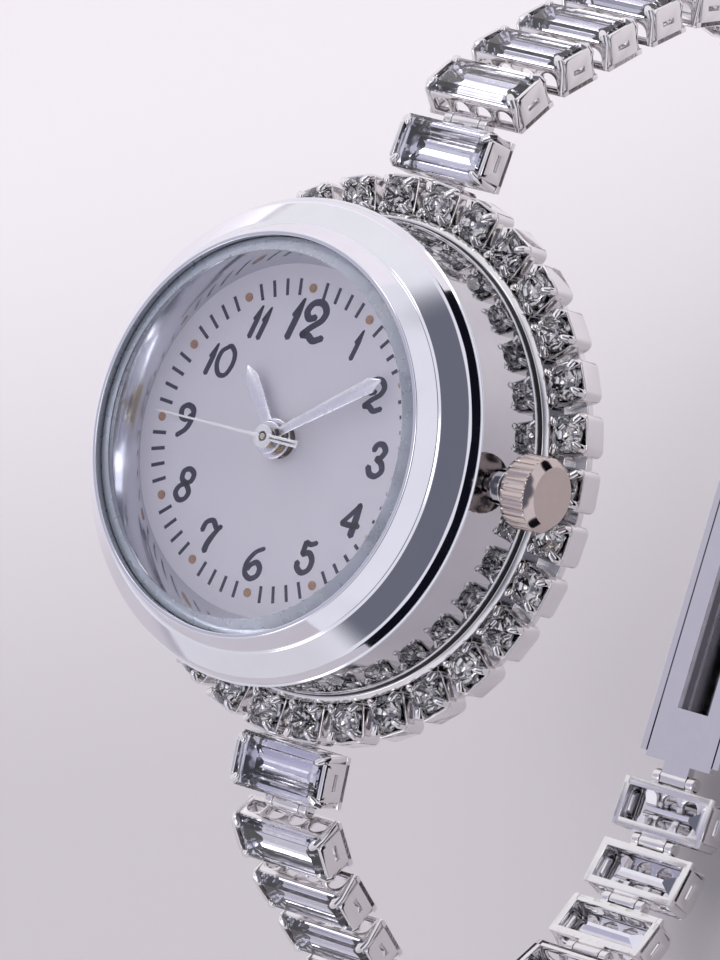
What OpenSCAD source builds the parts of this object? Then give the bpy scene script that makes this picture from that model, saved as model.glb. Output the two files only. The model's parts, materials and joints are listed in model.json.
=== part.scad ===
// A small round dress watch on a bracelet of linked baguette stones.
// The frame has its origin at the middle of the case back's outer face.
// +Z runs out through the dial, +Y to 12 o'clock and +X to the crown at 3 o'clock.

/* [Case] */
// Outer diameter of the polished case wall
case_d = 25.4; // [24.8:0.1:25.6]
// Height of the case wall's top edge above the back's outer face
wall_top = 7.5; // [7.3:0.1:7.8]
// Thickness of the case wall
case_wall = 1.2; // [1.1:0.05:1.3]
// How far the bezel's widest line stands out from the case wall
bezel_over = 0.25; // [0.15:0.05:0.5]
// Width of the rim from the case wall's outer face to the bezel's opening
rim_w = 2.2; // [2.1:0.05:2.3]
// Height of the bezel above the case wall
bezel_h = 2.9; // [2.8:0.05:3.0]
// Thickness of the back plate
back_t = 0.75; // [0.6:0.05:0.85]
// Thickness of the black seal that shows under the case wall
seal_t = 0.27; // [0.2:0.01:0.35]

/* [Glass and dial] */
// Thickness of the glass
glass_t = 1.2; // [1.0:0.05:1.25]
// Height of the dial's face above the back's outer face
dial_z = 7.5; // [7.4:0.05:7.6]
// Thickness of the dial
dial_t = 0.4; // [0.3:0.05:0.45]
// Width of the polished ring that slopes from the glass down to the dial
inner_ring_w = 1.3; // [1.2:0.05:1.5]

/* [Hands] */
// Length of the hour hand from its axis
hour_len = 4.4; // [4:0.1:5]
// Length of the minute hand from its axis
minute_len = 7.6; // [7:0.1:7.8]
// Length of the second hand from its axis
second_len = 7.4; // [7:0.1:7.8]
// Length of the second hand's tail
tail_len = 2.4; // [2:0.1:3]
// Angle of the hour hand, clockwise from 12
hour_angle = 322; // [0:1:359]
// Angle of the minute hand, clockwise from 12
minute_angle = 58; // [0:1:359]
// Angle of the second hand, clockwise from 12
second_angle = 272; // [0:1:359]
// Thickness of the hands
hand_t = 0.12; // [0.1:0.01:0.15]

/* [Crown] */
// Diameter of the crown over its flutes
crown_d = 4.0; // [3.8:0.1:4.1]
// Length of the crown
crown_len = 2.0; // [1.8:0.1:2.2]
// Number of flutes around the crown
crown_flutes = 26; // [20:1:30]
// Height of the crown's axis above the back's outer face
crown_z = 5.0; // [4.95:0.05:5.05]
// Diameter of the stem
stem_d = 0.9; // [0.8:0.05:1.0]
// How far the crown travels between its two stops
crown_travel = 0.8; // [0.6:0.1:0.9]

/* [Stone ring] */
// Number of round stones in the ring
ring_count = 32; // [28:1:32]
// Gap between the case wall and the stone cups
cup_gap = 0.3; // [0.2:0.05:0.35]
// Outer diameter of one stone cup
cup_d = 2.3; // [2.1:0.05:2.35]
// Diameter of one round stone
round_stone_d = 1.9; // [1.7:0.05:1.95]
// Height of the claw tips above the back's outer face
claw_top = 2.45; // [2.3:0.05:2.6]
// Diameter of one claw
claw_d = 0.4; // [0.3:0.02:0.44]

/* [Bracelet] */
// Number of stone links on each side of the head
link_count = 13; // [13:1:13]
// Distance between the hinges of one link
pitch = 3.8; // [3.75:0.05:4.0]
// Length of a baguette stone across the bracelet
stone_long = 5.86; // [5.5:0.05:6.2]
// Width of a baguette stone along the bracelet
stone_short = 3.0; // [2.8:0.05:3.1]
// Thickness of the setting's walls
link_wall = 0.25; // [0.2:0.01:0.28]
// Height of the setting's end plates
plate_h = 1.95; // [1.8:0.05:2.1]
// Diameter of the hinge pins
pin_d = 0.4; // [0.36:0.01:0.44]
// Distance of the first hinge outside the circle through the ring's stones
lug_out = 0.8; // [0.75:0.05:0.95]
// Height of the first hinge above the back's outer face
anchor_z = -0.2; // [-0.4:0.05:-0.2]
// Angle that the ring and the bracelet stand turned from the dial's 12 o'clock line
bracelet_twist = -3; // [-5:0.5:0]

/* [Clasp] */
// Length of the clasp from its hinge pin to its mouth
clasp_len = 22.5; // [21:0.5:24]
// Width of the clasp's cover
clasp_w = 5.6; // [5.2:0.1:6.0]
// Length of the end loop from its hinge pin to its tip
loop_len = 4.2; // [3.8:0.1:5]
// Wire width of the end loop
loop_wire = 0.7; // [0.6:0.05:0.8]

/* [Movement] */
// Diameter of the movement's main plate
plate_d = 18.4; // [18.2:0.1:18.5]
// Thickness of the main plate
plate_t = 0.8; // [0.7:0.05:0.85]
// Thickness of the train bridge
bridge_t = 0.45; // [0.35:0.05:0.5]
// Diameter of the battery
battery_d = 5.8; // [5.6:0.1:5.8]
// Height of the battery
battery_h = 2.1; // [1.9:0.05:2.1]
// Thickness of the brass wheels
wheel_t = 0.15; // [0.12:0.01:0.16]
// Thickness of the centre wheel, which carries the hands' load
centre_t = 0.32; // [0.28:0.01:0.33]
// Tooth module of the wheels on the rotor's and the seconds pinion's side
fine_module = 0.09; // [0.088:0.001:0.091]

/* [Fits] */
// Gap between fixed pieces that slip together
fit = 0.02; // [0.01:0.01:0.03]
// Radial running clearance of hinge pins and of the stem
play = 0.05; // [0.04:0.01:0.06]
// Radial running clearance of the movement's pivots
pivot_play = 0.03; // [0.02:0.01:0.03]

/* [Hidden] */

// How steeply the first links of each side hang, in degrees below level
upper_lay = [7, 46, 58, 58, 61];
lower_lay = [5, 43, 56, 56, 59];
clasp_gap = 0.4;
eps = 0.01;

// Case heights and radii
case_r = case_d / 2;
bezel_d = case_d + 2 * bezel_over;
opening_d = case_d - 2 * rim_w;
inner_ring_d = opening_d - 2 * inner_ring_w;
cavity_r = case_r - case_wall;
seal_z = 2.98;
seat_z = seal_z + seal_t;
spigot_r = case_r - 0.4;
rim_z = wall_top + bezel_h;
glass_r = opening_d / 2 - fit;
glass_top = rim_z - 0.1;
glass_z = glass_top - glass_t;
glass_bevel = 0.85;
dial_r = opening_d / 2 - 0.2;
dial_low = dial_z - dial_t;
skirt_z = dial_z - 0.3;
skirt_r = cavity_r - fit;
lip_h = 0.65;
lip_t = 0.5;

// Movement heights, from the dial downwards
plate_r = plate_d / 2;
plate_top = dial_low - 0.7;
plate_low = plate_top - plate_t;
bridge_top = plate_low - 1.4;
bridge_low = bridge_top - bridge_t;
holder_low = back_t + lip_h + fit;
holder_step = bridge_low - 0.05;

// Wheel train: tooth counts
rotor_teeth = 8;
fifth_teeth = 48;
fifth_pinion = 8;
seconds_teeth = 40;
seconds_pinion = 8;
third_teeth = 60;
third_pinion = 8;
centre_teeth = 64;
cannon_teeth = 12;
minute_teeth = 36;
minute_pinion = 10;
hour_teeth = 40;

// Wheel train: centre distances and the modules that follow from them
seconds_third = fine_module * (seconds_pinion + third_teeth) / 2;
centre_module = 2 * seconds_third / (third_pinion + centre_teeth);
fifth_seconds = 2.4;
seconds_module = 2 * fifth_seconds / (fifth_pinion + seconds_teeth);
rotor_fifth = fine_module * (rotor_teeth + fifth_teeth) / 2;
cannon_minute = 2.4;
cannon_module = 2 * cannon_minute / (cannon_teeth + minute_teeth);
hour_module = 2 * cannon_minute / (minute_pinion + hour_teeth);
third_angle = 100;
fifth_angle = -60;
rotor_angle = -70;
minute_angle_xy = 200;
third_at = seconds_third * [cos(third_angle), sin(third_angle)];
fifth_at = fifth_seconds * [cos(fifth_angle), sin(fifth_angle)];
rotor_at = fifth_at + rotor_fifth * [cos(rotor_angle), sin(rotor_angle)];
minute_at = cannon_minute * [cos(minute_angle_xy), sin(minute_angle_xy)];
battery_at = [-5.0, -3.6];
pillar_places = [[-4.6, 3.5], [5.0, -3.0]];
pillar_r = 0.5;

// Wheel train: heights
seconds_z = bridge_top + 0.1;
third_z = seconds_z + 0.3;
fifth_z = third_z + 0.3;
centre_z = plate_low - centre_t - 0.1;
cannon_z = plate_top + 0.05;
hour_z = cannon_z + 0.3;
pivot_r = 0.1;
seconds_arbor_r = 0.12;
centre_pipe_r = 0.32;
cannon_pipe_r = 0.5;
hour_pipe_r = 0.75;
magnet_r = 0.9;
magnet_h = 0.5;
stator_gap = 0.2;
stator_ring = 0.6;

// Heights of the three hands
hour_hand_z = dial_z + 0.5;
minute_hand_z = hour_hand_z + 0.45;
second_hand_z = minute_hand_z + 0.42;

// Crown along the X axis
crown_r = crown_d / 2;
crown_x = case_r + 1.3;
stem_r = stem_d / 2;
tube_r = stem_r + 0.5;
tube_end = crown_x - crown_travel - play;
stem_start = 5.4;
groove_x = 6.9;
groove_w = 0.3;
groove_r = 0.28;
lever_t = 0.2;
recess_r = tube_r + 0.5;
recess_d = crown_travel + 0.1;

// Stone ring
ring_r = case_r + cup_gap + cup_d / 2;
anchor_y = ring_r + lug_out;
ring_base = 0.25;
ring_inner = spigot_r + 0.05;
ring_outer = ring_r - cup_d / 2 + 0.25;
cup_top = claw_top - 0.5;
cup_floor = ring_base + 0.55;
round_r = round_stone_d / 2;
girdle_z = cup_top;
lug_w = 0.5;

// Bracelet link: u runs along the chain from the near hinge, n points out of the stone
pin_r = pin_d / 2;
eye_r = pin_r + play + 0.17;
eye_w = 1.8;
ear_w = 0.5;
pin_span = eye_w + 2 * ear_w + 2 * play;
link_low = -0.35;
wall_out = stone_short / 2 - 0.08;
wall_h = 1.18;
plate_in = stone_long / 2 + fit;
plate_out = plate_in + link_wall;
plate_w = 2.1;
plate_top_n = link_low + plate_h;
rail_h = 0.6;
rail_w = 0.45;
arch_count = 4;
arch_w = 1.0;
arch_foot = 0.28;
slot_l = 0.75;
slot_h = 0.3;
prong_r = 0.28;
girdle_n = 1.3;
girdle_t = 0.12;
crown_h = 0.42;
table_in = 0.62;
step_in = 0.3;
step_h = 0.28;
keel_n = 0.15;
keel_in = 1.05;

// Clasp: the base is the inner plate, the cover folds down over it
clasp_wall = 0.4;
base_t = 0.42;
base_w = clasp_w - 2 * clasp_wall - 4 * play;
cover_in = 1.35;
cover_top = cover_in + clasp_wall;
cover_hinge_u = clasp_len - 1.0;
cover_hinge_n = 0.5;
cover_pin_r = 0.35;
cover_start = 1.2;
cover_notch = 2.0;
cheek_w = 0.8;
cheek_r = 0.6;
base_start = 0.9;
base_side = 1.2;
base_end = 4;

// Where the bracelet runs: the first links hang as listed, and the rest turn by a
// steady angle each, so that both sides end level with the closed clasp
lay_given = len(upper_lay);
half_span = (clasp_len + clasp_gap + loop_len) / 2;
function lay_of(side) = side > 0 ? upper_lay : lower_lay;
function drop(side, i, turn) = i < lay_given
    ? lay_of(side)[i]
    : lay_of(side)[lay_given - 1] + turn * (i - lay_given + 1);
function reach(side, turn, i = 0) = i == link_count
    ? anchor_y
    : pitch * cos(drop(side, i, turn)) + reach(side, turn, i + 1);
function find_turn(side, low = 5, high = 22, n = 26) =
    n == 0
    ? (low + high) / 2
    : reach(side, (low + high) / 2) > half_span
        ? find_turn(side, (low + high) / 2, high, n - 1)
        : find_turn(side, low, (low + high) / 2, n - 1);
upper_turn = find_turn(1);
lower_turn = find_turn(-1);
function turn_of(side) = side > 0 ? upper_turn : lower_turn;
function lean(side, i) = drop(side, i, turn_of(side));
function hinge_at(side, i) = i == 0
    ? [anchor_y, anchor_z]
    : hinge_at(side, i - 1) + pitch * [cos(lean(side, i - 1)), -sin(lean(side, i - 1))];
upper_end = hinge_at(1, link_count);
lower_end = hinge_at(-1, link_count);
clasp_lean = atan2(lower_end[1] - upper_end[1], -lower_end[0] - upper_end[0]);
loop_lean = 360 - clasp_lean;

$fn = 64;

// A ring between two radii from height z0 to z1
module ring(r_in, r_out, z0, z1) {
    translate([0, 0, z0])
    difference() {
        cylinder(r = r_out, h = z1 - z0);
        translate([0, 0, -1])
        cylinder(r = r_in, h = z1 - z0 + 2);
    }
}

// A round bar along X from x0 to x1
module bar_x(r, x0, x1) {
    translate([x0, 0, 0])
    rotate([0, 90, 0])
    cylinder(r = r, h = x1 - x0);
}

// Outline of a toothed wheel: each tooth is a trapezoid, turned so one points along phase
module tooth_outline(teeth, module_mm, phase) {
    step = 360 / teeth;
    tip = module_mm * (teeth / 2 + 0.75);
    root = module_mm * (teeth / 2 - 1.05);
    foot_a = step * 0.27;
    tip_a = step * 0.1;
    polygon([for (k = [0 : teeth - 1])
        for (p = [[root, -foot_a], [tip, -tip_a], [tip, tip_a], [root, foot_a]])
            p[0] * [cos(phase + k * step + p[1]), sin(phase + k * step + p[1])]]);
}

module toothed(teeth, module_mm, phase, z0, z1) {
    translate([0, 0, z0])
    linear_extrude(z1 - z0)
    tooth_outline(teeth, module_mm, phase);
}

// Phase that puts a tooth gap of the driven wheel on the line from the other wheel
function gap_phase(teeth, line_angle) = line_angle + 180 + 180 / teeth;

// Spokes: three windows cut through a wheel
module wheel_windows(r_hub, r_rim, z0) {
    for (a = [0, 120, 240])
        rotate(a)
        translate([(r_hub + r_rim) / 2, 0, z0 - 1])
        cylinder(r = (r_rim - r_hub) / 2, h = 3);
}

module case_body() {
    color("silver")
    difference() {
        union() {
            rotate_extrude()
            polygon([[cavity_r, back_t + fit], [spigot_r, back_t + fit], [spigot_r, seat_z],
                [case_r, seat_z], [case_r, wall_top - 0.15], [case_r - 0.15, wall_top],
                [cavity_r, wall_top]]);
            translate([0, 0, crown_z])
            bar_x(tube_r, cavity_r + 0.3, tube_end);
        }
        translate([0, 0, crown_z])
        bar_x(stem_r + play, cavity_r - 2, tube_end + 1);
    }
}

module bezel() {
    bezel_r = bezel_d / 2;
    open_r = opening_d / 2;
    widest_z = wall_top + 0.6;
    color("whitesmoke")
    rotate_extrude()
    polygon(concat(
        [[open_r, skirt_z], [skirt_r, skirt_z], [skirt_r, wall_top], [bezel_r - 0.45, wall_top]],
        [for (a = [-60 : 20 : 60]) [bezel_r - 0.45 + 0.45 * cos(a), widest_z + 0.5 * sin(a)]],
        [[open_r + 1.0, rim_z - 1.15], [open_r + 0.85, rim_z - 1.15],
         [open_r + 0.22, rim_z], [open_r + 0.08, rim_z], [open_r, rim_z - 0.08]]));
}

module crystal() {
    color("lightcyan", 0.4)
    rotate_extrude()
    polygon([[0, glass_z], [glass_r, glass_z], [glass_r, glass_top - 0.4],
        [glass_r - 0.1, glass_top - 0.3], [glass_r - glass_bevel, glass_top], [0, glass_top]]);
}

module inner_ring() {
    foot_r = inner_ring_d / 2;
    color("silver")
    rotate_extrude()
    polygon([[foot_r, dial_z], [dial_r, dial_z], [dial_r, glass_z], [foot_r + 0.7, glass_z]]);
}

module dial() {
    color("lavender")
    ring(hour_pipe_r + 0.2, dial_r, dial_low, dial_z);
}

module movement_holder() {
    holder_r = cavity_r - fit;
    color("ivory")
    difference() {
        rotate_extrude()
        polygon([[plate_r - 1.2, holder_low], [holder_r, holder_low], [holder_r, skirt_z - fit],
            [dial_r + fit, skirt_z - fit], [dial_r + fit, dial_low], [plate_r + 0.1, dial_low],
            [plate_r + 0.1, holder_step], [plate_r - 1.2, holder_step]]);
        translate([0, 0, crown_z])
        bar_x(stem_r + 0.15, plate_r - 1, cavity_r + 1);
    }
}

module main_plate() {
    color("gold")
    difference() {
        union() {
            translate([0, 0, plate_low])
            cylinder(r = plate_r, h = plate_t);
            for (p = pillar_places)
                translate([p[0], p[1], bridge_top])
                cylinder(r = pillar_r, h = plate_low - bridge_top + eps);
            translate([minute_at[0], minute_at[1], plate_top - eps])
            cylinder(r = 0.15, h = 0.6);
        }
        translate([0, 0, plate_low - 1])
        cylinder(r = centre_pipe_r + pivot_play, h = plate_t + 2);
        translate([battery_at[0], battery_at[1], plate_low - 1])
        cylinder(r = battery_d / 2 + 0.1, h = plate_t + 2);
        for (p = [third_at, rotor_at])
            translate([p[0], p[1], plate_low - 1])
            cylinder(r = pivot_r + pivot_play, h = plate_t + 2);
    }
}

module train_bridge() {
    outline = [pillar_places[0], third_at, [2.5, 0.5], pillar_places[1], rotor_at, [-0.6, -0.8]];
    color("silver")
    translate([0, 0, bridge_low])
    difference() {
        union() {
            for (p = [pillar_places[0], third_at, [0, 0], fifth_at, rotor_at, pillar_places[1]])
                translate([p[0], p[1], 0])
                cylinder(r = 1.0, h = bridge_t);
            linear_extrude(bridge_t)
            polygon(outline);
        }
        for (p = [third_at, fifth_at, rotor_at])
            translate([p[0], p[1], -1])
            cylinder(r = pivot_r + pivot_play, h = bridge_t + 2);
        translate([0, 0, -1])
        cylinder(r = seconds_arbor_r + pivot_play, h = bridge_t + 2);
    }
}

module battery() {
    cell_r = battery_d / 2;
    low = bridge_top;
    color("silver")
    translate([battery_at[0], battery_at[1], low])
    rotate_extrude()
    polygon([[0, 0], [cell_r - 0.7, 0], [cell_r - 0.5, 0.25], [cell_r - 0.1, 0.25],
        [cell_r, 0.4], [cell_r, battery_h], [0, battery_h]]);
}

// Coil along X, with its iron core reaching the stator's two feet
coil_y = -6.9;
coil_x0 = -1.3;
coil_x1 = 4.0;
coil_r = 0.8;
core_t = 0.3;
core_w = 0.7;
core_z = plate_low - 0.1 - coil_r;
stator_t = 0.3;
stator_z = core_z - core_t / 2 - stator_t;
module coil() {
    color("darkred")
    translate([0, coil_y, core_z]) {
        bar_x(coil_r, coil_x0, coil_x1);
        translate([coil_x0 - 0.8, -core_w / 2, -core_t / 2])
        cube([coil_x1 - coil_x0 + 1.6, core_w, core_t]);
    }
}

module stator() {
    color("gray")
    translate([0, 0, stator_z])
    linear_extrude(stator_t)
    difference() {
        union() {
            translate(rotor_at)
            circle(r = magnet_r + stator_ring);
            polygon([[coil_x0 - 0.75, coil_y - core_w / 2], [coil_x0 - 0.1, coil_y - core_w / 2],
                [coil_x0 - 0.1, coil_y + 1.0], [rotor_at[0], coil_y + 1.2],
                [rotor_at[0], rotor_at[1] + 0.9], [rotor_at[0] - 1.2, rotor_at[1] + 0.6],
                [coil_x0 - 0.75, coil_y + 1.8]]);
            polygon([[coil_x1 + 0.1, coil_y - core_w / 2], [coil_x1 + 0.75, coil_y - core_w / 2],
                [coil_x1 + 0.75, coil_y + 1.8], [rotor_at[0] + 1.2, rotor_at[1] + 0.6],
                [rotor_at[0], rotor_at[1] + 0.9], [rotor_at[0], coil_y + 1.2],
                [coil_x1 + 0.1, coil_y + 1.0]]);
        }
        translate(rotor_at)
        circle(r = magnet_r + stator_gap);
    }
}

module circuit_board() {
    board_t = 0.2;
    can_r = 0.7;
    can_y = 4.7;
    color("darkgreen")
    translate([0, 0, plate_low - board_t]) {
        linear_extrude(board_t)
        polygon([[2.8, 2.2], [6.8, 2.2], [7.3, 3.4], [7.0, 5.4], [5.6, 6.6], [2.8, 6.6]]);
        translate([0, can_y, -can_r + eps])
        bar_x(can_r, 2.9, 6.9);
        translate([3.2, 2.4, -0.5])
        cube([1.6, 1.3, 0.5 + eps]);
    }
}

module case_back() {
    color("silver") {
        difference() {
            union() {
                rotate_extrude()
                polygon([[0, 0], [spigot_r - 0.35, 0], [spigot_r, 0.2], [spigot_r, back_t],
                    [0, back_t]]);
                ring(cavity_r - fit - lip_t, cavity_r - fit, back_t - eps, back_t + lip_h);
            }
            translate([0, -spigot_r, 0.1])
            linear_extrude(back_t)
            polygon([[-1.5, -1], [1.5, -1], [1.2, 0.5], [-1.2, 0.5]]);
        }
    }
}

module back_gasket() {
    color("black")
    ring(spigot_r + fit, case_r + 0.2, seal_z, seat_z);
}

// One claw: a round post with a domed tip
module claw(z0) {
    translate([0, 0, z0])
    cylinder(r = claw_d / 2, h = claw_top - claw_d / 2 - z0);
    translate([0, 0, claw_top - claw_d / 2])
    sphere(r = claw_d / 2);
}

// Cups stand with a gap, not a stone, at 12 o'clock, where the bracelet's lugs are
function cup_angle(k) = (k + 0.5) * 360 / ring_count;

module at_cup(k) {
    rotate(cup_angle(k))
    translate([ring_r, 0, 0])
    children();
}

// The round stone fills the cup's seat: table, crown, girdle and pavilion
function round_profile(grow) = [[0, girdle_z - round_r * 0.85 - grow],
    [round_r + grow, girdle_z - 0.06], [round_r + grow, girdle_z + 0.06],
    [round_r * 0.6, girdle_z + 0.4 + grow], [0, girdle_z + 0.4 + grow]];

module stone_ring() {
    claw_out = cup_d / 2 - claw_d / 2 + 0.05;
    ear_x = eye_w / 2 + play;
    color("silver")
    rotate(bracelet_twist)
    difference() {
        union() {
            ring(ring_inner, ring_outer, ring_base, seal_z - fit);
            for (k = [0 : ring_count - 1])
                at_cup(k) {
                    translate([0, 0, ring_base])
                    cylinder(r = cup_d / 2, h = cup_top - ring_base);
                    for (a = [45 : 90 : 315])
                        rotate(a)
                        translate([claw_out, 0, 0])
                        claw(cup_floor);
                }
            for (side = [1, -1])
                for (x = [-ear_x - ear_w, ear_x])
                    ring_lug(side, x);
        }
        for (k = [0 : ring_count - 1])
            at_cup(k) {
                translate([0, 0, cup_floor])
                cylinder(r = round_r - 0.25, h = 3);
                rotate_extrude($fn = 48)
                polygon(round_profile(fit));
            }
    }
}

// Lug under the ring that holds the first hinge pin
module ring_lug(side, x) {
    translate([x, 0, 0])
    rotate([90, 0, 90])
    linear_extrude(lug_w)
    union() {
        translate([side * anchor_y, anchor_z])
        circle(r = eye_r);
        polygon([[side * (anchor_y - eye_r), anchor_z], [side * (anchor_y + eye_r * 0.2), anchor_z],
            [side * (anchor_y + eye_r * 0.2), ring_base + 0.2],
            [side * (anchor_y - eye_r - 1.0), ring_base + 0.2]]);
    }
    if (x < 0)
        translate([0, side * anchor_y, anchor_z])
        bar_x(pin_r, -pin_span / 2, pin_span / 2);
}

module ring_stones() {
    color("gainsboro")
    rotate(bracelet_twist)
    for (k = [0 : ring_count - 1])
        at_cup(k)
        rotate_extrude($fn = 48)
        polygon(round_profile(0));
}

// Flat leaf hand: widest near its pointed tip, with a round hub
module leaf_hand(length, root_w, wide_w, hub_r, bore_r, z) {
    translate([0, 0, z])
    difference() {
        union() {
            cylinder(r = hub_r, h = hand_t);
            linear_extrude(hand_t)
            polygon([[-root_w / 2, 0], [-wide_w / 2, length * 0.72], [0, length],
                [wide_w / 2, length * 0.72], [root_w / 2, 0]]);
        }
        translate([0, 0, -1])
        cylinder(r = bore_r, h = 2);
    }
}

module hour_hand() {
    color("silver")
    rotate(-hour_angle)
    leaf_hand(hour_len, 0.45, 0.8, 1.0, hour_pipe_r, hour_hand_z);
}

module minute_hand() {
    color("silver")
    rotate(-minute_angle)
    leaf_hand(minute_len, 0.35, 0.6, 0.8, cannon_pipe_r, minute_hand_z);
}

module second_hand() {
    color("silver")
    rotate(-second_angle)
    translate([0, 0, second_hand_z])
    difference() {
        union() {
            cylinder(r = 0.7, h = hand_t);
            linear_extrude(hand_t)
            polygon([[-0.17, -tail_len], [-0.07, 0], [-0.03, second_len], [0.03, second_len],
                [0.07, 0], [0.17, -tail_len]]);
        }
        translate([0, 0, -1])
        cylinder(r = seconds_arbor_r, h = 2);
    }
}

module arbor(z0, z1, r) {
    translate([0, 0, z0])
    cylinder(r = r, h = z1 - z0);
}

module rotor() {
    pinion_z = fifth_z - 0.04;
    color("dimgray")
    translate([rotor_at[0], rotor_at[1], 0]) {
        arbor(bridge_low + 0.05, plate_top - 0.05, pivot_r);
        arbor(seconds_z + 0.02, seconds_z + 0.02 + magnet_h, magnet_r);
        toothed(rotor_teeth, fine_module, gap_phase(rotor_teeth, rotor_angle), pinion_z,
            pinion_z + wheel_t + 0.08);
    }
}

// The fifth wheel's arbor stops just under the centre wheel, whose rim passes over it
module fifth_wheel() {
    color("goldenrod")
    translate([fifth_at[0], fifth_at[1], 0]) {
        arbor(bridge_low + 0.05, centre_z - play, pivot_r);
        difference() {
            toothed(fifth_teeth, fine_module, rotor_angle, fifth_z, fifth_z + wheel_t);
            wheel_windows(0.6, 1.7, fifth_z);
        }
        toothed(fifth_pinion, seconds_module, gap_phase(fifth_pinion, fifth_angle),
            seconds_z - 0.05, fifth_z);
    }
}

module seconds_wheel() {
    color("goldenrod") {
        arbor(bridge_low + 0.05, second_hand_z + hand_t, seconds_arbor_r);
        difference() {
            toothed(seconds_teeth, seconds_module, fifth_angle, seconds_z, seconds_z + wheel_t);
            wheel_windows(0.55, 1.5, seconds_z);
        }
        toothed(seconds_pinion, fine_module, gap_phase(seconds_pinion, third_angle + 180),
            third_z - 0.07, third_z + wheel_t + 0.05);
    }
}

module third_wheel() {
    color("goldenrod")
    translate([third_at[0], third_at[1], 0]) {
        arbor(bridge_low + 0.05, plate_top - 0.05, pivot_r);
        difference() {
            toothed(third_teeth, fine_module, third_angle + 180, third_z, third_z + wheel_t);
            wheel_windows(0.6, 2.2, third_z);
        }
        toothed(third_pinion, centre_module, gap_phase(third_pinion, third_angle),
            third_z + wheel_t, centre_z + centre_t + 0.05);
    }
}

module centre_wheel() {
    color("goldenrod")
    difference() {
        union() {
            difference() {
                toothed(centre_teeth, centre_module, third_angle, centre_z, centre_z + centre_t);
                wheel_windows(0.7, 2.2, centre_z);
            }
            arbor(centre_z, hour_z + 0.2, centre_pipe_r);
        }
        arbor(centre_z - 1, hour_z + 1, seconds_arbor_r + pivot_play);
    }
}

module cannon_pinion() {
    color("goldenrod")
    difference() {
        union() {
            toothed(cannon_teeth, cannon_module, gap_phase(cannon_teeth, minute_angle_xy + 180),
                cannon_z, cannon_z + 0.27);
            arbor(cannon_z, minute_hand_z + hand_t, cannon_pipe_r);
        }
        arbor(cannon_z - 1, hour_z + 0.25, centre_pipe_r + pivot_play);
        arbor(cannon_z, minute_hand_z + 1, seconds_arbor_r + pivot_play);
    }
}

module minute_wheel() {
    color("goldenrod")
    translate([minute_at[0], minute_at[1], 0])
    difference() {
        union() {
            toothed(minute_teeth, cannon_module, minute_angle_xy + 180, cannon_z,
                cannon_z + wheel_t);
            toothed(minute_pinion, hour_module, gap_phase(minute_pinion, minute_angle_xy),
                cannon_z + wheel_t, hour_z + wheel_t + 0.05);
        }
        arbor(cannon_z - 1, hour_z + 1, 0.15 + pivot_play);
    }
}

module hour_wheel() {
    color("goldenrod")
    difference() {
        union() {
            toothed(hour_teeth, hour_module, minute_angle_xy, hour_z, hour_z + wheel_t);
            arbor(hour_z, hour_hand_z + hand_t, hour_pipe_r);
        }
        arbor(hour_z - 1, hour_hand_z + 1, cannon_pipe_r + pivot_play);
    }
}

// Fork that sits in the stem's groove and moves with it
module setting_lever() {
    x0 = groove_x + (groove_w - lever_t) / 2;
    color("steelblue")
    difference() {
        union() {
            translate([x0, -0.8, crown_z - 0.65])
            cube([lever_t, 1.6, 1.05]);
            translate([x0, 0.7, crown_z + 0.1])
            cube([lever_t, 1.9, 0.25]);
        }
        translate([0, 0, crown_z])
        bar_x(groove_r + play, x0 - 1, x0 + 1);
        translate([x0 - 1, -groove_r - play, crown_z - 2])
        cube([2, 2 * (groove_r + play), 2]);
    }
}

module stem() {
    color("lightslategray")
    translate([0, 0, crown_z])
    difference() {
        union() {
            bar_x(stem_r * 0.7, stem_start, stem_start + 0.8);
            bar_x(stem_r, stem_start + 0.8, crown_x + crown_len - 0.6);
        }
        difference() {
            bar_x(stem_r + 1, groove_x, groove_x + groove_w);
            bar_x(groove_r, groove_x - 1, groove_x + groove_w + 1);
        }
    }
}

module crown() {
    flute_step = 360 / crown_flutes;
    rim = 0.25;
    color("gainsboro")
    translate([crown_x, 0, crown_z])
    difference() {
        union() {
            translate([rim, 0, 0])
            rotate([0, 90, 0])
            linear_extrude(crown_len - 2 * rim)
            polygon([for (k = [0 : crown_flutes - 1])
                for (p = [[crown_r - 0.14, -0.28], [crown_r, -0.12], [crown_r, 0.12],
                    [crown_r - 0.14, 0.28]])
                    p[0] * [cos((k + p[1]) * flute_step), sin((k + p[1]) * flute_step)]]);
            rotate([90, 0, 90])
            rotate_extrude()
            polygon([[0, 0], [crown_r - 0.2, 0], [crown_r - 0.14, rim], [crown_r - 0.14,
                crown_len - rim], [crown_r - 0.32, crown_len], [0, crown_len]]);
        }
        bar_x(recess_r, -1, recess_d);
        bar_x(stem_r, -1, crown_len - 0.6);
    }
}

module crown_gasket() {
    color("black")
    translate([crown_x, 0, crown_z])
    difference() {
        bar_x(recess_r - fit, 0.02, 0.5);
        bar_x(tube_r + play, -1, 1);
    }
}

// Step-cut baguette: two stepped outlines, one along each axis, that cross
function step_profile(half, depth_in, grow) = [
    [half + grow, girdle_n - grow], [half + grow, girdle_n + girdle_t],
    [half - step_in + grow, girdle_n + girdle_t + step_h + grow],
    [half - table_in, girdle_n + crown_h + grow], [-half + table_in, girdle_n + crown_h + grow],
    [-half + step_in - grow, girdle_n + girdle_t + step_h + grow],
    [-half - grow, girdle_n + girdle_t], [-half - grow, girdle_n - grow],
    [-half + depth_in * 0.45 - grow, girdle_n - 0.45 - grow], [-half + depth_in, keel_n - grow],
    [half - depth_in, keel_n - grow], [half - depth_in * 0.45 + grow, girdle_n - 0.45 - grow]];

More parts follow.
